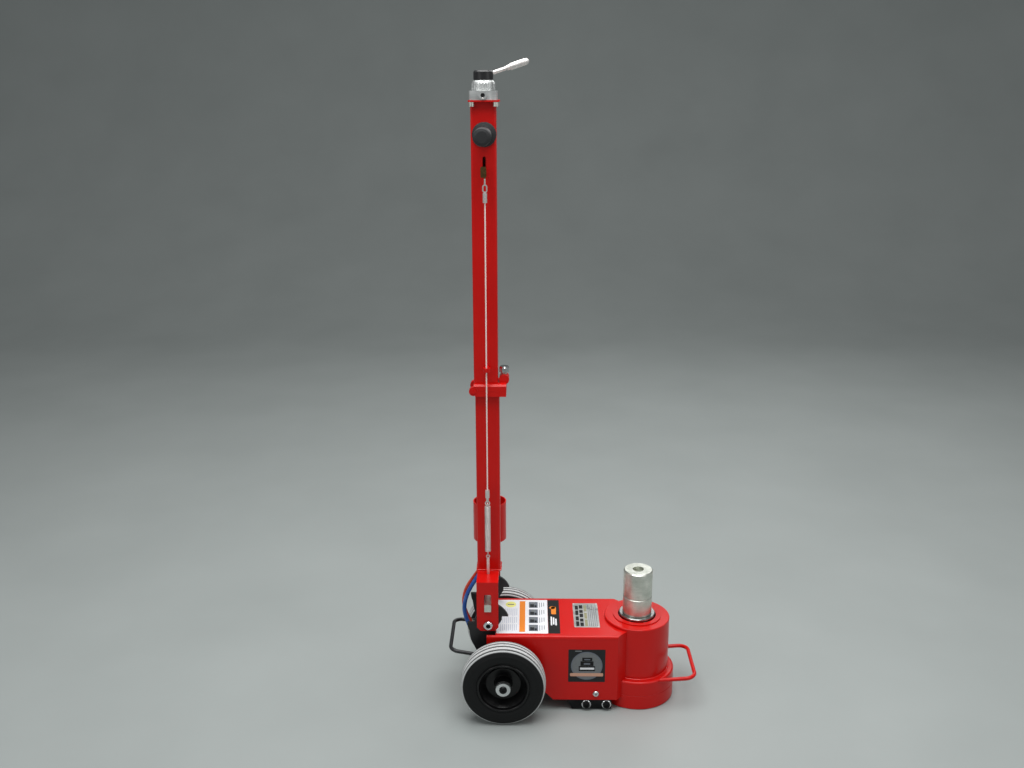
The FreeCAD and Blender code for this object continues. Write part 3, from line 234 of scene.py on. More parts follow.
def bright_metal(name, light_hex, dark_hex, roughness, streak_mm, streak_scale, relief_mm=0.03):
    """Worked metal: fine tool marks that run one way, a patchy tone, and reflections drawn out
    along the marks."""
    material, shader, place = new_finish(name)
    turned = add_node(material, "ShaderNodeMapping", {"Vector": place, "Scale": streak_scale})
    marks = add_node(material, "ShaderNodeTexNoise", {
        "Vector": turned.outputs[0], "Scale": 1 / (streak_mm * MM), "Detail": 4.0, "Roughness": 0.65,
    })
    patches = add_node(material, "ShaderNodeTexNoise", {
        "Vector": place, "Scale": 1 / (26 * MM), "Detail": 5.0,
    })
    tone = add_node(material, "ShaderNodeMath", {
        0: marks.outputs["Fac"], 1: patches.outputs["Fac"],
    }, operation="MULTIPLY")
    spread = add_node(material, "ShaderNodeMapRange", {
        "Value": tone.outputs[0], "From Min": 0.1, "From Max": 0.4,
    })
    colour = add_node(material, "ShaderNodeMix", {
        0: spread.outputs[0], MIX_A: linear(dark_hex), MIX_B: linear(light_hex),
    }, data_type="RGBA")
    gloss = add_node(material, "ShaderNodeMapRange", {
        "Value": patches.outputs["Fac"], "From Min": 0.3, "From Max": 0.7,
        "To Min": roughness * 0.8, "To Max": roughness * 1.3,
    })
    relief = add_node(material, "ShaderNodeBump", {
        "Height": marks.outputs["Fac"], "Strength": 0.5, "Distance": relief_mm * MM,
    })
    set_inputs(shader, {
        "Base Color": colour.outputs[MIX_OUT], "Metallic": 1.0, "Roughness": gloss.outputs[0],
        "Normal": relief.outputs[0],
    })
    return material


def link_metal(split_z):
    """The release link: browned steel plate and bolt above the split, satin zinc eye and ferrule
    below it, both mottled by handling."""
    material, shader, place = new_finish("release_link_metal")
    height = add_node(material, "ShaderNodeSeparateXYZ", {0: place}).outputs["Z"]
    upper = add_node(material, "ShaderNodeMath", {0: height, 1: split_z}, operation="GREATER_THAN")
    mottle = add_node(material, "ShaderNodeTexNoise", {"Vector": place, "Scale": 1 / (4 * MM), "Detail": 5.0})
    brown = add_node(material, "ShaderNodeMix", {
        0: mottle.outputs["Fac"], MIX_A: linear("4A3526"), MIX_B: linear("8C7348"),
    }, data_type="RGBA")
    pale = add_node(material, "ShaderNodeMix", {
        0: mottle.outputs["Fac"], MIX_A: linear("D6D0CC"), MIX_B: linear("F6F2EF"),
    }, data_type="RGBA")
    colour = add_node(material, "ShaderNodeMix", {
        0: upper.outputs[0], MIX_A: pale.outputs[MIX_OUT], MIX_B: brown.outputs[MIX_OUT],
    }, data_type="RGBA")
    relief = add_node(material, "ShaderNodeBump", {
        "Height": mottle.outputs["Fac"], "Strength": 0.4, "Distance": 0.05 * MM,
    })
    set_inputs(shader, {
        "Base Color": colour.outputs[MIX_OUT], "Metallic": 1.0, "Roughness": 0.42,
        "Normal": relief.outputs[0],
    })
    return material


def soft_black(name, body_hex, dust_hex, roughness, grain_mm):
    """Moulded black rubber or plastic: matt, with a leathery grain from the mould and a bloom of
    dust in it."""
    material, shader, place = new_finish(name)
    grain = add_node(material, "ShaderNodeTexVoronoi", {"Vector": place, "Scale": 1 / (grain_mm * MM)})
    bloom = add_node(material, "ShaderNodeTexNoise", {"Vector": place, "Scale": 1 / (17 * MM), "Detail": 6.0})
    colour = add_node(material, "ShaderNodeMix", {
        0: bloom.outputs["Fac"], MIX_A: linear(body_hex), MIX_B: linear(dust_hex),
    }, data_type="RGBA")
    relief = add_node(material, "ShaderNodeBump", {
        "Height": grain.outputs["Distance"], "Strength": 0.5, "Distance": 0.15 * MM,
    })
    set_inputs(shader, {
        "Base Color": colour.outputs[MIX_OUT], "Roughness": roughness, "Normal": relief.outputs[0],
        "IOR": 1.5,
    })
    return material


def hose_skin(name, body_hex, pale_hex):
    """Extruded polyurethane hose: saturated, waxy and slightly translucent, with fine draw lines
    along it and a paler bloom where it has rubbed."""
    material, shader, place = new_finish(name)
    along = add_node(material, "ShaderNodeTexCoord", {}).outputs["UV"]
    lines = add_node(material, "ShaderNodeMapping", {"Vector": along, "Scale": (1.0, 60.0, 1.0)})
    draw = add_node(material, "ShaderNodeTexNoise", {"Vector": lines.outputs[0], "Scale": 3.0, "Detail": 3.0})
    rub = add_node(material, "ShaderNodeTexNoise", {"Vector": place, "Scale": 1 / (18 * MM), "Detail": 5.0})
    fade = add_node(material, "ShaderNodeMapRange", {
        "Value": rub.outputs["Fac"], "From Min": 0.45, "From Max": 0.75, "To Max": 0.6,
    })
    colour = add_node(material, "ShaderNodeMix", {
        0: fade.outputs[0], MIX_A: linear(body_hex), MIX_B: linear(pale_hex),
    }, data_type="RGBA")
    relief = add_node(material, "ShaderNodeBump", {
        "Height": draw.outputs["Fac"], "Strength": 0.3, "Distance": 0.08 * MM,
    })
    set_inputs(shader, {
        "Base Color": colour.outputs[MIX_OUT], "Roughness": 0.3, "Normal": relief.outputs[0],
        "IOR": 1.5, "Subsurface Weight": 0.08, "Subsurface Scale": 1.5 * MM,
    })
    return material


def print_ink(name, ink_hex, second_hex, roughness=0.5):
    """Screen print on a vinyl label: flat colour with a slight unevenness of the ink film under a
    thin satin laminate."""
    material, shader, place = new_finish(name)
    film = add_node(material, "ShaderNodeTexNoise", {"Vector": place, "Scale": 1 / (6 * MM), "Detail": 6.0})
    colour = add_node(material, "ShaderNodeMix", {
        0: film.outputs["Fac"], MIX_A: linear(ink_hex), MIX_B: linear(second_hex),
    }, data_type="RGBA")
    relief = add_node(material, "ShaderNodeBump", {
        "Height": film.outputs["Fac"], "Strength": 0.2, "Distance": 0.05 * MM,
    })
    set_inputs(shader, {
        "Base Color": colour.outputs[MIX_OUT], "Roughness": roughness, "Normal": relief.outputs[0],
        "IOR": 1.4,
    })
    return material


def plain_floor():
    """Fine-ground pale grey concrete with a soft cloudiness."""
    material, shader, place = new_finish("pale_concrete")
    clouds = add_node(material, "ShaderNodeTexNoise", {"Vector": place, "Scale": 2.4, "Detail": 6.0})
    colour = add_node(material, "ShaderNodeMix", {
        0: clouds.outputs["Fac"], MIX_A: linear("949A98"), MIX_B: linear("A1A7A5"),
    }, data_type="RGBA")
    set_inputs(shader, {"Base Color": colour.outputs[MIX_OUT], "Roughness": 0.62})
    return material


RED = gloss_enamel("red_stoved_enamel", "CE120B", "BE0D0A", 0.28, 0.08)
WELD_RED = gloss_enamel("red_enamel_over_weld", "D2140C", "C00E0A", 0.16, 0.5)
RIM_BLACK = gloss_enamel("black_rim_enamel", "050506", "0A0A0B", 0.3, 0.15)
BLACK = satin_paint()
ROUND_MARKS = (0.15, 0.15, 6.0)
LONG_MARKS = (6.0, 6.0, 0.15)
NO_GRAIN = (1.0, 1.0, 1.0)
BRUSHED_ALONG_Y = (8.0, 0.2, 8.0)
ZINC = bright_metal("zinc_plated_steel", "F0F2E9", "BCC0B5", 0.36, 2.0, ROUND_MARKS, 0.04)
SATIN_ZINC = bright_metal("satin_zinc_wire", "F6F2EF", "DAD5D2", 0.5, 2.0, NO_GRAIN, 0.02)
STEEL = bright_metal("ground_steel", "B9BAB8", "8E8F8E", 0.24, 2.0, ROUND_MARKS)
CHROME = bright_metal("chrome_plated_steel", "E4E5E6", "C6C8CA", 0.1, 5.0, LONG_MARKS, 0.01)
LINK_SPLIT_Z = 1259 * MM
LINK_METAL = link_metal(LINK_SPLIT_Z)
OXIDE = bright_metal("blackened_steel", "343536", "1D1E1F", 0.36, 2.5, ROUND_MARKS)
ALUMINIUM = bright_metal("machined_aluminium", "E6E8E7", "C6CAC8", 0.42, 4.0, ROUND_MARKS, 0.02)
IRON = bright_metal("cast_iron", "4A4A4B", "2A2A2B", 0.55, 1.4, NO_GRAIN, 0.2)
GRIP = soft_black("moulded_grip_rubber", "161718", "26282A", 0.55, 1.6)
SEAL = soft_black("nitrile_seal_rubber", "131314", "1E1F20", 0.5, 1.0)
CAP_PLASTIC = soft_black("moulded_nylon_cap", "121314", "1E1F21", 0.38, 1.2)
BLUE_HOSE = hose_skin("blue_polyurethane_hose", "1F4E9E", "4D7CC0")
RED_HOSE = hose_skin("orange_red_polyurethane_hose", "C4351F", "D9694F")
CABLE = hose_skin("clear_sleeved_wire_rope", "F3DFDA", "FFF6F2")

FINISHES = (
    (RED, ("base_plate", "base_collar", "cylinder_shell", "cylinder_cap", "front_handle", "tank_shell",
           "yoke", "lower_tube", "lower_collar", "fold_pins", "adapter_cup", "upper_tube",
           "upper_collar")),
    (BLACK, ("frame_plates", "cross_plate", "rear_handle")),
    (RIM_BLACK, ("rim_near", "rim_far")),
    (GRIP, ("hand_grips",)),
    (CAP_PLASTIC, ("selector_cap",)),
    (SEAL, ("wiper_seal", "piston_seal")),
    (STEEL, ("ram_stage_1", "ram_stage_2", "ram_stage_3", "pressure_tube", "axle", "t_bar",
             "release_slider", "return_spring", "bearings_near", "bearings_far")),
    (ZINC, ("adapter_short", "adapter_tall", "latch_bar", "head_bolts", "pin_washer", "hose_fittings")),
    (SATIN_ZINC, ("latch_rod", "cable_crimp", "control_lever")),
    (LINK_METAL, ("release_bolt",)),
    (CHROME, ("pivot_bolts", "lock_pin", "axle_washers", "side_plugs")),
    (OXIDE, ("axle_bolts", "pump_block")),
    (ALUMINIUM, ("valve_block", "bonnet", "air_piston")),
    (IRON, ("air_motor_cylinder",)),
    (BLUE_HOSE, ("air_lines_lower", "air_lines_upper")),
)
for finish, names in FINISHES:
    for name in names:
        for material_slot in NODES[name].material_slots:
            material_slot.material = finish

for side in ("near", "far"):
    low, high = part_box(f"tyre_{side}")
    rubber = tyre_rubber(f"vulcanised_rubber_{side}", (low + high) / 2, (high.y - low.y) / 2)
    for material_slot in NODES[f"tyre_{side}"].material_slots:
        material_slot.material = rubber


# ---------------------------------------------------------------- hoses
# Each route: depth, radius, length and the points in the side view, from the fitting up into the yoke.
HOSES = {
    "hose_blue": (-0.010, 0.005, 0.1673, BLUE_HOSE, (
        (-0.408, 0.175), (-0.4185, 0.201), (-0.4225, 0.230),
        (-0.415, 0.263), (-0.3975, 0.2965), (-0.376, 0.329))),
    "hose_red": (0.015, 0.004, 0.1692, RED_HOSE, (
        (-0.407, 0.177), (-0.420, 0.203), (-0.426, 0.233),
        (-0.419, 0.267), (-0.399, 0.298), (-0.377, 0.330))),
}


def deselect_all():
    bpy.ops.object.select_all(action="DESELECT")


def pick(piece):
    """Selects this piece alone and makes it the active one."""
    deselect_all()
    piece.select_set(True)
    bpy.context.view_layer.objects.active = piece


def nurbs_line(name, points, closed=False, resolution=24):
    """A smooth line with the points as its control points."""
    curve = bpy.data.curves.new(name, "CURVE")
    curve.dimensions = "3D"
    spline = curve.splines.new("NURBS")
    spline.points.add(len(points) - 1)
    for control, point in zip(spline.points, points):
        control.co = (*point, 1.0)
    spline.order_u = 3
    spline.use_endpoint_u = not closed
    spline.use_cyclic_u = closed
    curve.resolution_u = resolution
    line = bpy.data.objects.new(name, curve)
    bpy.context.scene.collection.objects.link(line)
    return line


def make_mesh(line, radius):
    """Gives a line its thickness and turns it into a closed mesh."""
    line.data.bevel_depth = radius
    line.data.bevel_resolution = 6
    line.data.use_fill_caps = True
    pick(line)
    bpy.ops.object.convert(target="MESH")
    bpy.ops.object.mode_set(mode="EDIT")
    bpy.ops.mesh.select_all(action="SELECT")
    bpy.ops.mesh.remove_doubles(threshold=0.01 * MM)
    bpy.ops.mesh.normals_make_consistent(inside=False)
    bpy.ops.object.mode_set(mode="OBJECT")
    bpy.ops.object.shade_smooth_by_angle(angle=math.radians(40))
    return bpy.context.active_object


for name, (depth, radius, length, skin, route) in HOSES.items():
    line = nurbs_line(f"{name}_tube", [(x, depth, z) for x, z in route])
    centre_line = bpy.data.meshes.new_from_object(line)
    hose = make_mesh(line, radius)
    hose.data.materials.clear()
    hose.data.materials.append(skin)
    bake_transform(hose)
    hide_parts(name)


# ---------------------------------------------------------------- modelling helpers
def settle(piece, name, body, slot_name, *finishes):
    """Puts the piece's place into its mesh, names it, gives it its finish and its body."""
    pick(piece)
    bpy.ops.object.transform_apply(location=True, rotation=True, scale=True)
    piece.name = name
    piece.data.name = name
    if finishes:
        piece.data.materials.clear()
        for finish in finishes:
            piece.data.materials.append(finish)
    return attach(piece, body)


def joined(pieces):
    """Joins the pieces into the first of them."""
    deselect_all()
    for piece in pieces:
        piece.select_set(True)
    bpy.context.view_layer.objects.active = pieces[0]
    bpy.ops.object.join()
    return bpy.context.active_object


def apply_modifier(piece, kind, **settings):
    """Adds a modifier with its settings and applies it."""
    pick(piece)
    modifier = piece.modifiers.new(kind.lower(), kind)
    for name, value in settings.items():
        setattr(modifier, name, value)
    bpy.ops.object.modifier_apply(modifier=modifier.name)


def smooth(piece, degrees):
    """Shades the piece smooth, apart from edges sharper than the angle."""
    pick(piece)
    bpy.ops.object.shade_smooth_by_angle(angle=math.radians(degrees))


# ---------------------------------------------------------------- sockets of the cap screws, lined black as painted shade
def socket_shade_liner(centre, radius, flats, depth, facing):
    """Black lining of a screw's recess, with a hexagonal hole in it: painted shade that darkens the recess.
    """
    turn = (QUARTER, 0, 0)
    middle = Vector(centre) - Vector((0, facing * depth / 2, 0))
    deselect_all()
    bpy.ops.mesh.primitive_cylinder_add(
        vertices=32, radius=radius, depth=depth, location=middle, rotation=turn)
    liner = bpy.context.active_object
    bpy.ops.mesh.primitive_cylinder_add(
        vertices=6, radius=flats / math.sqrt(3), depth=depth * 1.5,
        location=middle + Vector((0, facing * depth * 0.4, 0)), rotation=turn)
    hexagon = bpy.context.active_object
    apply_modifier(liner, "BOOLEAN", operation="DIFFERENCE", object=hexagon, solver="EXACT")
    bpy.data.objects.remove(hexagon)
    return liner


pivot_low, pivot_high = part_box("pivot_bolts")
pivot_x = (pivot_low.x + pivot_high.x) / 2
pivot_z = (pivot_low.z + pivot_high.z) / 2
axle_low, axle_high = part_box("axle_bolts")
axle_x = (axle_low.x + axle_high.x) / 2
axle_z = (axle_low.z + axle_high.z) / 2
# Of each socket: how far its lining lies below the head's face, its radius, its width across flats
# and its depth.
PIVOT_SOCKET = (1.4 * MM, 5.6 * MM, 8 * MM, 4 * MM)
AXLE_SOCKET = (0.3 * MM, 4.1 * MM, 5 * MM, 2.3 * MM)
PLUG_SOCKET = (0.6 * MM, 8.7 * MM, 10 * MM, 2.4 * MM)
PLUG_X = (-125.5 * MM, -77.0 * MM)
PLUG_Z = 16.5 * MM
plug_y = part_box("side_plugs")[0].y
sockets = []
for facing, pivot_y, axle_y in ((-1, pivot_low.y, axle_low.y), (1, pivot_high.y, axle_high.y)):
    sockets.append((PIVOT_SOCKET, pivot_x, pivot_y, pivot_z, facing))
    sockets.append((AXLE_SOCKET, axle_x, axle_y, axle_z, facing))
for x in PLUG_X:
    sockets.append((PLUG_SOCKET, x, plug_y, PLUG_Z, -1))
# Black linings in the pivot, axle and plug recesses: painted shade.
liners = []
for (below, radius, flats, depth), x, y, z, facing in sockets:
    liners.append(socket_shade_liner((x, y - facing * below, z), radius, flats, depth, facing))
settle(joined(liners), "screw_socket_shade_liners", "chassis", "black_oxide", OXIDE)


# ---------------------------------------------------------------- latch spring and release cable
BAR_X = sum(corner.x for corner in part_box("latch_bar")) / 2
cable_low, cable_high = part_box("release_cable")
LINE_Y = (cable_low.y + cable_high.y) / 2


def wound(wire, offset, upright, pitch, turns, steps, start_angle=0.0):
    """A wire of radius wire wound round the Z axis at the offset, from Z = 0 up."""
    deselect_all()
    turn = (QUARTER if upright else 0.0, 0.0, 0.0)
    bpy.ops.mesh.primitive_circle_add(vertices=8, radius=wire, location=(offset, 0, 0), rotation=turn)
    piece = bpy.context.active_object
    bpy.ops.object.transform_apply(location=True, rotation=True, scale=True)
    apply_modifier(piece, "SCREW", axis="Z", angle=2 * math.pi, screw_offset=pitch, iterations=turns,
                   steps=steps, render_steps=steps, use_merge_vertices=False)
    bpy.ops.object.mode_set(mode="EDIT")
    bpy.ops.mesh.select_all(action="SELECT")
    bpy.ops.mesh.fill_holes(sides=8)
    bpy.ops.mesh.select_all(action="SELECT")
    bpy.ops.mesh.normals_make_consistent(inside=False)
    bpy.ops.object.mode_set(mode="OBJECT")
    piece.rotation_euler = (0, 0, start_angle)
    return piece


spring_low, spring_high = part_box("latch_spring")
WIRE = 0.9 * MM
COIL_TURNS = 60
COIL_STEPS = 20
LOOP_RADIUS = 5.1 * MM
LOWER_LOOP_DROP = 5.2 * MM
UPPER_LOOP_RISE = 3.4 * MM
coil_radius = (spring_high.x - spring_low.x) / 2 - WIRE
coil_pitch = (spring_high.z - spring_low.z - 2 * WIRE) / COIL_TURNS
coil = wound(WIRE, coil_radius, True, coil_pitch, COIL_TURNS, COIL_STEPS)
coil.location = (BAR_X, LINE_Y, spring_low.z + WIRE)
loops = [coil]
for height in (spring_low.z - LOWER_LOOP_DROP, spring_high.z + UPPER_LOOP_RISE):
    bpy.ops.mesh.primitive_torus_add(
        major_radius=LOOP_RADIUS, minor_radius=WIRE, major_segments=32, minor_segments=10,
        location=(BAR_X, LINE_Y, height), rotation=(0, QUARTER, 0))
    loops.append(bpy.context.active_object)
spring = joined(loops)
smooth(spring, 60)
settle(spring, "latch_spring_wire", "latch", "zinc_plate", SATIN_ZINC)
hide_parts("latch_spring")

STRANDS = 3
STRAND_R = 0.9 * MM
STRAND_OFFSET = 0.85 * MM
STRAND_STEPS = 12
LAY_LENGTH = 20 * MM
# The wire rope's strands wind a whole number of turns over this height.
cable_turns = round((cable_high.z - cable_low.z) / LAY_LENGTH)
cable_pitch = (cable_high.z - cable_low.z) / cable_turns
strands = []
for number in range(STRANDS):
    strand = wound(STRAND_R, STRAND_OFFSET, False, cable_pitch, cable_turns, STRAND_STEPS,
                   2 * math.pi * number / STRANDS)
    strand.location = (BAR_X, LINE_Y, cable_low.z)
    strands.append(strand)
cable = joined(strands)
smooth(cable, 60)
lean = (cable_high.x - cable_low.x) - (cable_high.y - cable_low.y)
cable.rotation_euler = (0, math.atan2(lean, cable_high.z - cable_low.z), 0)
pick(cable)
bpy.ops.object.transform_apply(location=True, rotation=True, scale=True)
cable.name = "release_wire_rope"
cable.data.name = cable.name
cable.data.materials.clear()
cable.data.materials.append(CABLE)
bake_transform(cable)
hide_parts("release_cable")


# ---------------------------------------------------------------- labels
WHITE_VINYL = print_ink("white_label_vinyl", "E9EAEC", "DFE1E5")
PALE_INK = print_ink("pale_blue_grey_ink", "AEB4C4", "BEC3D0")
GREY_INK = print_ink("grey_ink", "5E646E", "747A83")
DARK_INK = print_ink("charcoal_ink", "141618", "1E2124")
BLACK_INK = print_ink("black_ink", "060607", "0D0E0F", 0.6)
ORANGE_INK = print_ink("orange_ink", "E07C1C", "E8892B")
YELLOW_INK = print_ink("yellow_ink", "E3DF7A", "EBE792")
BEIGE_INK = print_ink("beige_ink", "C9977F", "D3A58E")
SILVER_INK = print_ink("silver_ink", "686C6E", "7D8183", 0.35)
FOIL = bright_metal("brushed_aluminium_foil", "D2D3D2", "B4B5B2", 0.32, 1.2, BRUSHED_ALONG_Y)
OLIVE_INK = print_ink("olive_ink", "8C8A6A", "9A9878")
SHEET = 0.12 * MM


def patch(kind, across, up, layer, ink, corner=0.0):
    """One thin flat shape of a label, drawn on the XY plane in millimetres: across and up are its
    two limits each way, and layer says how many print layers are under it."""
    middle = ((across[0] + across[1]) / 2 * MM, (up[0] + up[1]) / 2 * MM, layer * SHEET)
    size = ((across[1] - across[0]) * MM, (up[1] - up[0]) * MM)
    deselect_all()
    if kind == "disc":
        bpy.ops.mesh.primitive_circle_add(vertices=48, radius=0.5, fill_type="NGON", location=middle)
    else:
        bpy.ops.mesh.primitive_plane_add(size=1.0, location=middle)
    piece = bpy.context.active_object
    piece.scale = (size[0], size[1], 1.0)
    bpy.ops.object.transform_apply(location=False, rotation=False, scale=True)
    bpy.ops.object.mode_set(mode="EDIT")
    bpy.ops.mesh.select_all(action="SELECT")
    if corner:
        bpy.ops.mesh.bevel(offset=corner * MM, segments=4, affect="VERTICES")
        bpy.ops.mesh.select_all(action="SELECT")
    bpy.ops.mesh.extrude_region_move(TRANSFORM_OT_translate={"value": (0, 0, SHEET)})
    bpy.ops.mesh.select_all(action="SELECT")
    bpy.ops.mesh.normals_make_consistent(inside=False)
    bpy.ops.object.mode_set(mode="OBJECT")
    piece.data.materials.append(ink)
    return piece


def label(name, patches, place, turn, slot_name="grip_plastic"):
    """Joins the patches and lays the label at its place."""
    piece = joined([patch(*p) for p in patches])
    piece.data.transform(piece.matrix_world)
    piece.matrix_world = Matrix.Identity(4)
    piece.rotation_euler = turn
    piece.location = place
    settle(piece, name, "chassis", slot_name)


tank_low, tank_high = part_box("tank_shell")
TOP_FLAT = (0.0, 0.0, 0.0)
NEAR_UPRIGHT = (QUARTER, 0.0, 0.0)

# Rating label on the housing's top: X runs across, Y runs up. The blocks and bars carry no text.
rating = [("plane", (-342, -218), (-83, 83), 0, WHITE_VINYL, 2.0)]
rating += [("plane", (-287, -273), (-76, 76), 1, ORANGE_INK, 0.6)]
rating += [("disc", (-322, -296), (44, 74), 1, YELLOW_INK)]
rating += [("plane", (-317, -301), (57, 61), 2, GREY_INK, 0.5)]
for column in range(9):
    x = -333 + 4.8 * column
    far_end = 38 if column > 1 else 30
    for start, end in ((-72, -40), (-36, -4), (0, far_end)):
        rating.append(("plane", (x, x + 1.5), (start + column % 3 * 2, end), 1, PALE_INK, 0.0))
for row in range(4):
    y = 57 - 38 * row
    rating.append(("plane", (-264, -242), (y - 15, y + 15), 1, GREY_INK, 1.0))
    rating.append(("plane", (-261, -251), (y - 12, y + 3), 2, DARK_INK, 0.8))
    rating.append(("disc", (-259, -247), (y + 1, y + 13), 2, SILVER_INK))
    rating.append(("plane", (-250, -245), (y - 12, y - 2), 2, BLACK_INK, 0.5))
    for line_number in range(3):
        x = -238.5 + 5.4 * line_number
        rating.append(("plane", (x, x + 1.4), (y - 13 + 3 * line_number, y + 12), 1, GREY_INK, 0.0))
label("rating_label", rating, (0, 0, tank_high.z), TOP_FLAT)

stripe = [("plane", (-217.6, -189), (-83, 83), 0, BLACK_INK, 1.5)]
stripe += [("plane", (-209, -197), (10, 48), 1, ORANGE_INK, 3.0)]
stripe += [("disc", (-213, -199), (36, 50), 1, ORANGE_INK)]
for x, start, end in ((-211, -44, -2), (-205.5, -40, -6), (-200, -44, -12)):
    stripe.append(("plane", (x, x + 3.6), (start, end), 1, WHITE_VINYL, 1.2))
label("stripe_label", stripe, (0, 0, tank_high.z), TOP_FLAT)

plate = [("plane", (-155, -93), (-53, 67), 0, FOIL, 2.0)]
PLATE_COLUMNS = ((-149.5, 7.5, BLACK_INK, 4), (-139.5, 8.5, BLACK_INK, 5), (-128.0, 6.5, OLIVE_INK, 3))
PLATE_COLUMN_LENGTH = 108
for x, width, ink, cells in PLATE_COLUMNS:
    step = PLATE_COLUMN_LENGTH / cells
    for cell in range(cells):
        y = -47 + step * cell
        plate.append(("plane", (x, x + width), (y, y + step - 4 - cell % 2 * 3), 1, ink, 0.5))
for line_number in range(5):
    x = -118 + 4.6 * line_number
    plate.append(("plane", (x, x + 1.2), (-46, 60 - line_number % 2 * 14), 1, GREY_INK, 0.0))
label("type_plate", plate, (0, 0, tank_high.z), TOP_FLAT, "cast_aluminium")

# Badge on the housing's near side: X runs across, Z runs up.
badge = [("plane", (-170, -82), (77.5, 164.5), 0, DARK_INK, 1.5)]
badge += [("disc", (-163.5, -88.5), (83.5, 158.5), 1, GREY_INK)]
badge += [("disc", (-161, -91), (86, 156), 2, SILVER_INK)]
badge += [("plane", (-137, -113), (134, 143), 3, BLACK_INK, 0.8)]
badge += [("plane", (-132, -118), (136.5, 139.5), 4, GREY_INK, 0.4)]
badge += [("plane", (-141, -110), (121, 133.4), 3, BLACK_INK, 0.8)]
badge += [("plane", (-133, -118), (124.5, 128.5), 4, GREY_INK, 0.4)]
badge += [("plane", (-145, -106), (107, 120.4), 3, BLACK_INK, 0.8)]
badge += [("plane", (-142, -108), (111, 116.5), 4, WHITE_VINYL, 0.4)]
badge += [("plane", (-165.5, -86.5), (93, 101.5), 3, BEIGE_INK, 2.0)]
badge += [("plane", (-154, -138), (158.7, 161.7), 1, SILVER_INK, 0.5)]
label("side_badge", badge, (0, tank_low.y, 0), NEAR_UPRIGHT)


# ---------------------------------------------------------------- rivets and small screws
def dome(centre, radius, height, axis_turn):
    """Round head, cut flat underneath."""
    deselect_all()
    bpy.ops.mesh.primitive_uv_sphere_add(segments=20, ring_count=12, radius=radius, location=(0, 0, 0))
    piece = bpy.context.active_object
    piece.scale = (1.0, 1.0, height / radius)
    bpy.ops.object.transform_apply(location=False, rotation=False, scale=True)
    bpy.ops.object.mode_set(mode="EDIT")
    bpy.ops.mesh.select_all(action="SELECT")
    bpy.ops.mesh.bisect(plane_co=(0, 0, 0), plane_no=(0, 0, 1), use_fill=True, clear_inner=True)
    bpy.ops.object.mode_set(mode="OBJECT")
    piece.rotation_euler = axis_turn
    piece.location = centre
    smooth(piece, 50)
    return piece


RIVET_X = (-151.5 * MM, -96.5 * MM)
RIVET_Y = (-49.5 * MM, 63.5 * MM)
RIVET_R, RIVET_HEIGHT = 2.2 * MM, 1.3 * MM
rivets = []
for x in RIVET_X:
    for y in RIVET_Y:
        rivets.append(dome((x, y, tank_high.z + SHEET), RIVET_R, RIVET_HEIGHT, TOP_FLAT))
settle(joined(rivets), "type_plate_rivets", "chassis", "cast_aluminium", ALUMINIUM)

block_low, block_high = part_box("valve_block")
port_x = (block_low.x + block_high.x) / 2
PORT_HEIGHT = 9.8 * MM
PORT_R = 4.5 * MM
PORT_DEPTH = 5 * MM
BLEED_DROP = 6.6 * MM
BLEED_R, BLEED_HEIGHT = 1.9 * MM, 1.2 * MM
port_z = block_low.z + PORT_HEIGHT
bleed_screw = dome((port_x, block_low.y, port_z - BLEED_DROP), BLEED_R, BLEED_HEIGHT, NEAR_UPRIGHT)
settle(bleed_screw, "valve_block_bleed_screw", "handle_upper", "zinc_plate", SATIN_ZINC)

# A black rubber disc set down inside the air port stands in for the shade in the hole: painted shade.
deselect_all()
bpy.ops.mesh.primitive_cylinder_add(
    vertices=32, radius=PORT_R, depth=2 * MM,
    location=(port_x, block_low.y + PORT_DEPTH, port_z), rotation=NEAR_UPRIGHT)
settle(bpy.context.active_object, "air_port_painted_shade_disc", "handle_upper", "seal_rubber", SEAL)


# ---------------------------------------------------------------- weld beads
WELD_RESOLUTION = 8
RIPPLE = bpy.data.textures.new("weld_ripple", "CLOUDS")
RIPPLE.noise_scale = 2.2 * MM


def weld_bead(name, body, points, radius, closed, ripple=0.9 * MM):
    """Painted bead of weld that follows the points."""
    bead = make_mesh(nurbs_line(name, points, closed, WELD_RESOLUTION), radius)
    apply_modifier(bead, "DISPLACE", texture=RIPPLE, texture_coords="LOCAL", strength=ripple, mid_level=0.5)
    smooth(bead, 70)
    settle(bead, name, body, "red_paint", WELD_RED)


def rectangle(x, y, z, step):
    """Points round a rectangle, a step apart."""
    corners = [(x[0], y[0]), (x[1], y[0]), (x[1], y[1]), (x[0], y[1])]
    points = []
    for start, end in zip(corners, corners[1:] + corners[:1]):
        run = math.dist(start, end)
        count = max(2, round(run / step))
        for i in range(count):
            share = i / count
            points.append((start[0] + (end[0] - start[0]) * share,
                           start[1] + (end[1] - start[1]) * share, z))
    return points


FOOT_BEAD_OUT = 0.5 * MM
FOOT_BEAD_RISE = 0.8 * MM
FOOT_BEAD_STEP = 4 * MM
FOOT_BEAD_R = 2.1 * MM
FOOT_RIPPLE = 1.8 * MM
tube_low, tube_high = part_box("lower_tube")
foot_x = (tube_low.x - FOOT_BEAD_OUT, tube_high.x + FOOT_BEAD_OUT)
foot_y = (tube_low.y - FOOT_BEAD_OUT, tube_high.y + FOOT_BEAD_OUT)
foot_points = rectangle(foot_x, foot_y, tube_low.z + FOOT_BEAD_RISE, FOOT_BEAD_STEP)
weld_bead("weld_tube_foot", "handle_lower", foot_points, FOOT_BEAD_R, True, FOOT_RIPPLE)


def arc_points(radius, z, half_angle, count):
    """Points on an arc about the ram's axis, open towards the housing."""
    angles = [math.radians(2 * half_angle * i / count - half_angle) for i in range(count + 1)]
    return [(radius * math.cos(angle), radius * math.sin(angle), z) for angle in angles]


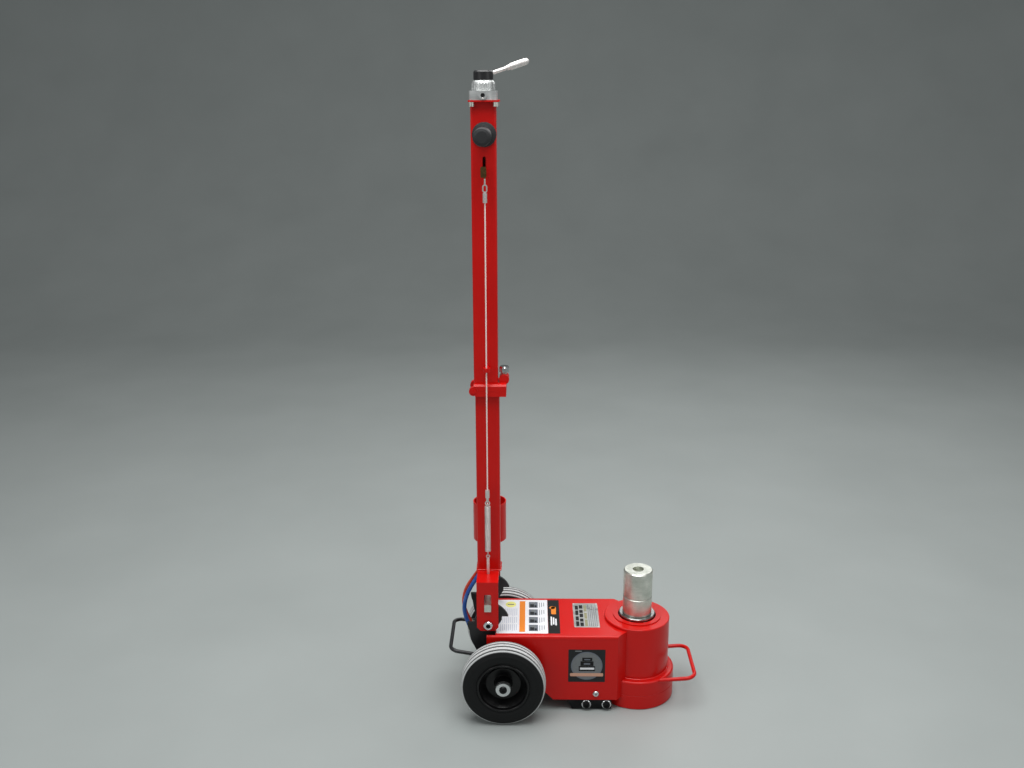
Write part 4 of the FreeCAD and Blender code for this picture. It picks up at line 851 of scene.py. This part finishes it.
COLLAR_BEAD_OUT = 0.6 * MM
COLLAR_BEAD_RISE = 0.4 * MM
COLLAR_BEAD_R = 2.0 * MM
COLLAR_BEAD_HALF_ANGLE = 114
shell_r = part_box("cylinder_shell")[1].x
collar_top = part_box("base_collar")[1].z
collar_points = arc_points(
    shell_r + COLLAR_BEAD_OUT, collar_top + COLLAR_BEAD_RISE, COLLAR_BEAD_HALF_ANGLE, 90)
weld_bead("weld_collar_to_cylinder", "chassis", collar_points, COLLAR_BEAD_R, False)

CUP_BEAD_X = 12.5 * MM
CUP_BEAD_OUT = 1.2 * MM
CUP_BEAD_R = 2.2 * MM
CUP_BEAD_SHARES = (0.06, 0.2, 0.35, 0.5, 0.65, 0.8, 0.94)
cup_low, cup_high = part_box("adapter_cup")
cup_x = (cup_low.x + cup_high.x) / 2
for side, sign in (("left", -1), ("right", 1)):
    points = [(cup_x + sign * CUP_BEAD_X, tube_high.y + CUP_BEAD_OUT,
               cup_low.z + (cup_high.z - cup_low.z) * share) for share in CUP_BEAD_SHARES]
    weld_bead(f"weld_cup_{side}", "handle_lower", points, CUP_BEAD_R, False)


# ---------------------------------------------------------------- floor and lights
deselect_all()
bpy.ops.mesh.primitive_plane_add(size=1.0, location=(0, 0, 0))
floor = bpy.context.active_object
FLOOR_WIDTH, FLOOR_DEPTH = 16.0, 12.0
WALL_HEIGHT = 5.0
COVE_WIDTH = 2.4
floor.scale = (FLOOR_WIDTH, FLOOR_DEPTH, 1.0)
bpy.ops.object.transform_apply(location=True, rotation=True, scale=True)
# The floor's far edge is drawn up into a wall, with a wide cove between them.
bpy.ops.object.mode_set(mode="EDIT")
bpy.ops.mesh.select_mode(type="EDGE")
bpy.ops.mesh.select_all(action="DESELECT")
bpy.ops.object.mode_set(mode="OBJECT")
for edge in floor.data.edges:
    ends = [floor.data.vertices[i].co.y for i in edge.vertices]
    edge.select = min(ends) > 0.49 * FLOOR_DEPTH
bpy.ops.object.mode_set(mode="EDIT")
bpy.ops.mesh.extrude_region_move(TRANSFORM_OT_translate={"value": (0, 0, WALL_HEIGHT)})
bpy.ops.object.mode_set(mode="OBJECT")
apply_modifier(floor, "BEVEL", width=COVE_WIDTH, segments=16, limit_method="ANGLE")
smooth(floor, 60)
floor.name = "studio_floor"
floor.data.materials.append(plain_floor())

world = bpy.data.worlds.new("studio")
bpy.context.scene.world = world
world.use_nodes = True
world.node_tree.nodes["Background"].inputs["Color"].default_value = linear("F2F4F6")
world.node_tree.nodes["Background"].inputs["Strength"].default_value = 0.3

LOOK_AT = Vector((-0.2, 0.0, 0.5))
LIGHTS = (
    ("overhead_softbox", (-0.3, -0.3, 3.2), 2.6, 110.0),
    ("left_softbox", (-2.6, -2.4, 2.2), 1.6, 14.0),
    ("right_softbox", (2.4, -1.8, 1.8), 1.4, 10.0),
    ("back_softbox", (0.8, 2.6, 2.6), 1.6, 20.0),
)
for name, place, size, power in LIGHTS:
    light = bpy.data.lights.new(name, "AREA")
    light.shape = "SQUARE"
    light.size = size
    light.energy = power
    lamp = bpy.data.objects.new(name, light)
    bpy.context.scene.collection.objects.link(lamp)
    lamp.location = place
    lamp.rotation_euler = (LOOK_AT - Vector(place)).to_track_quat("-Z", "Y").to_euler()

bpy.context.scene.view_settings.view_transform = "Standard"
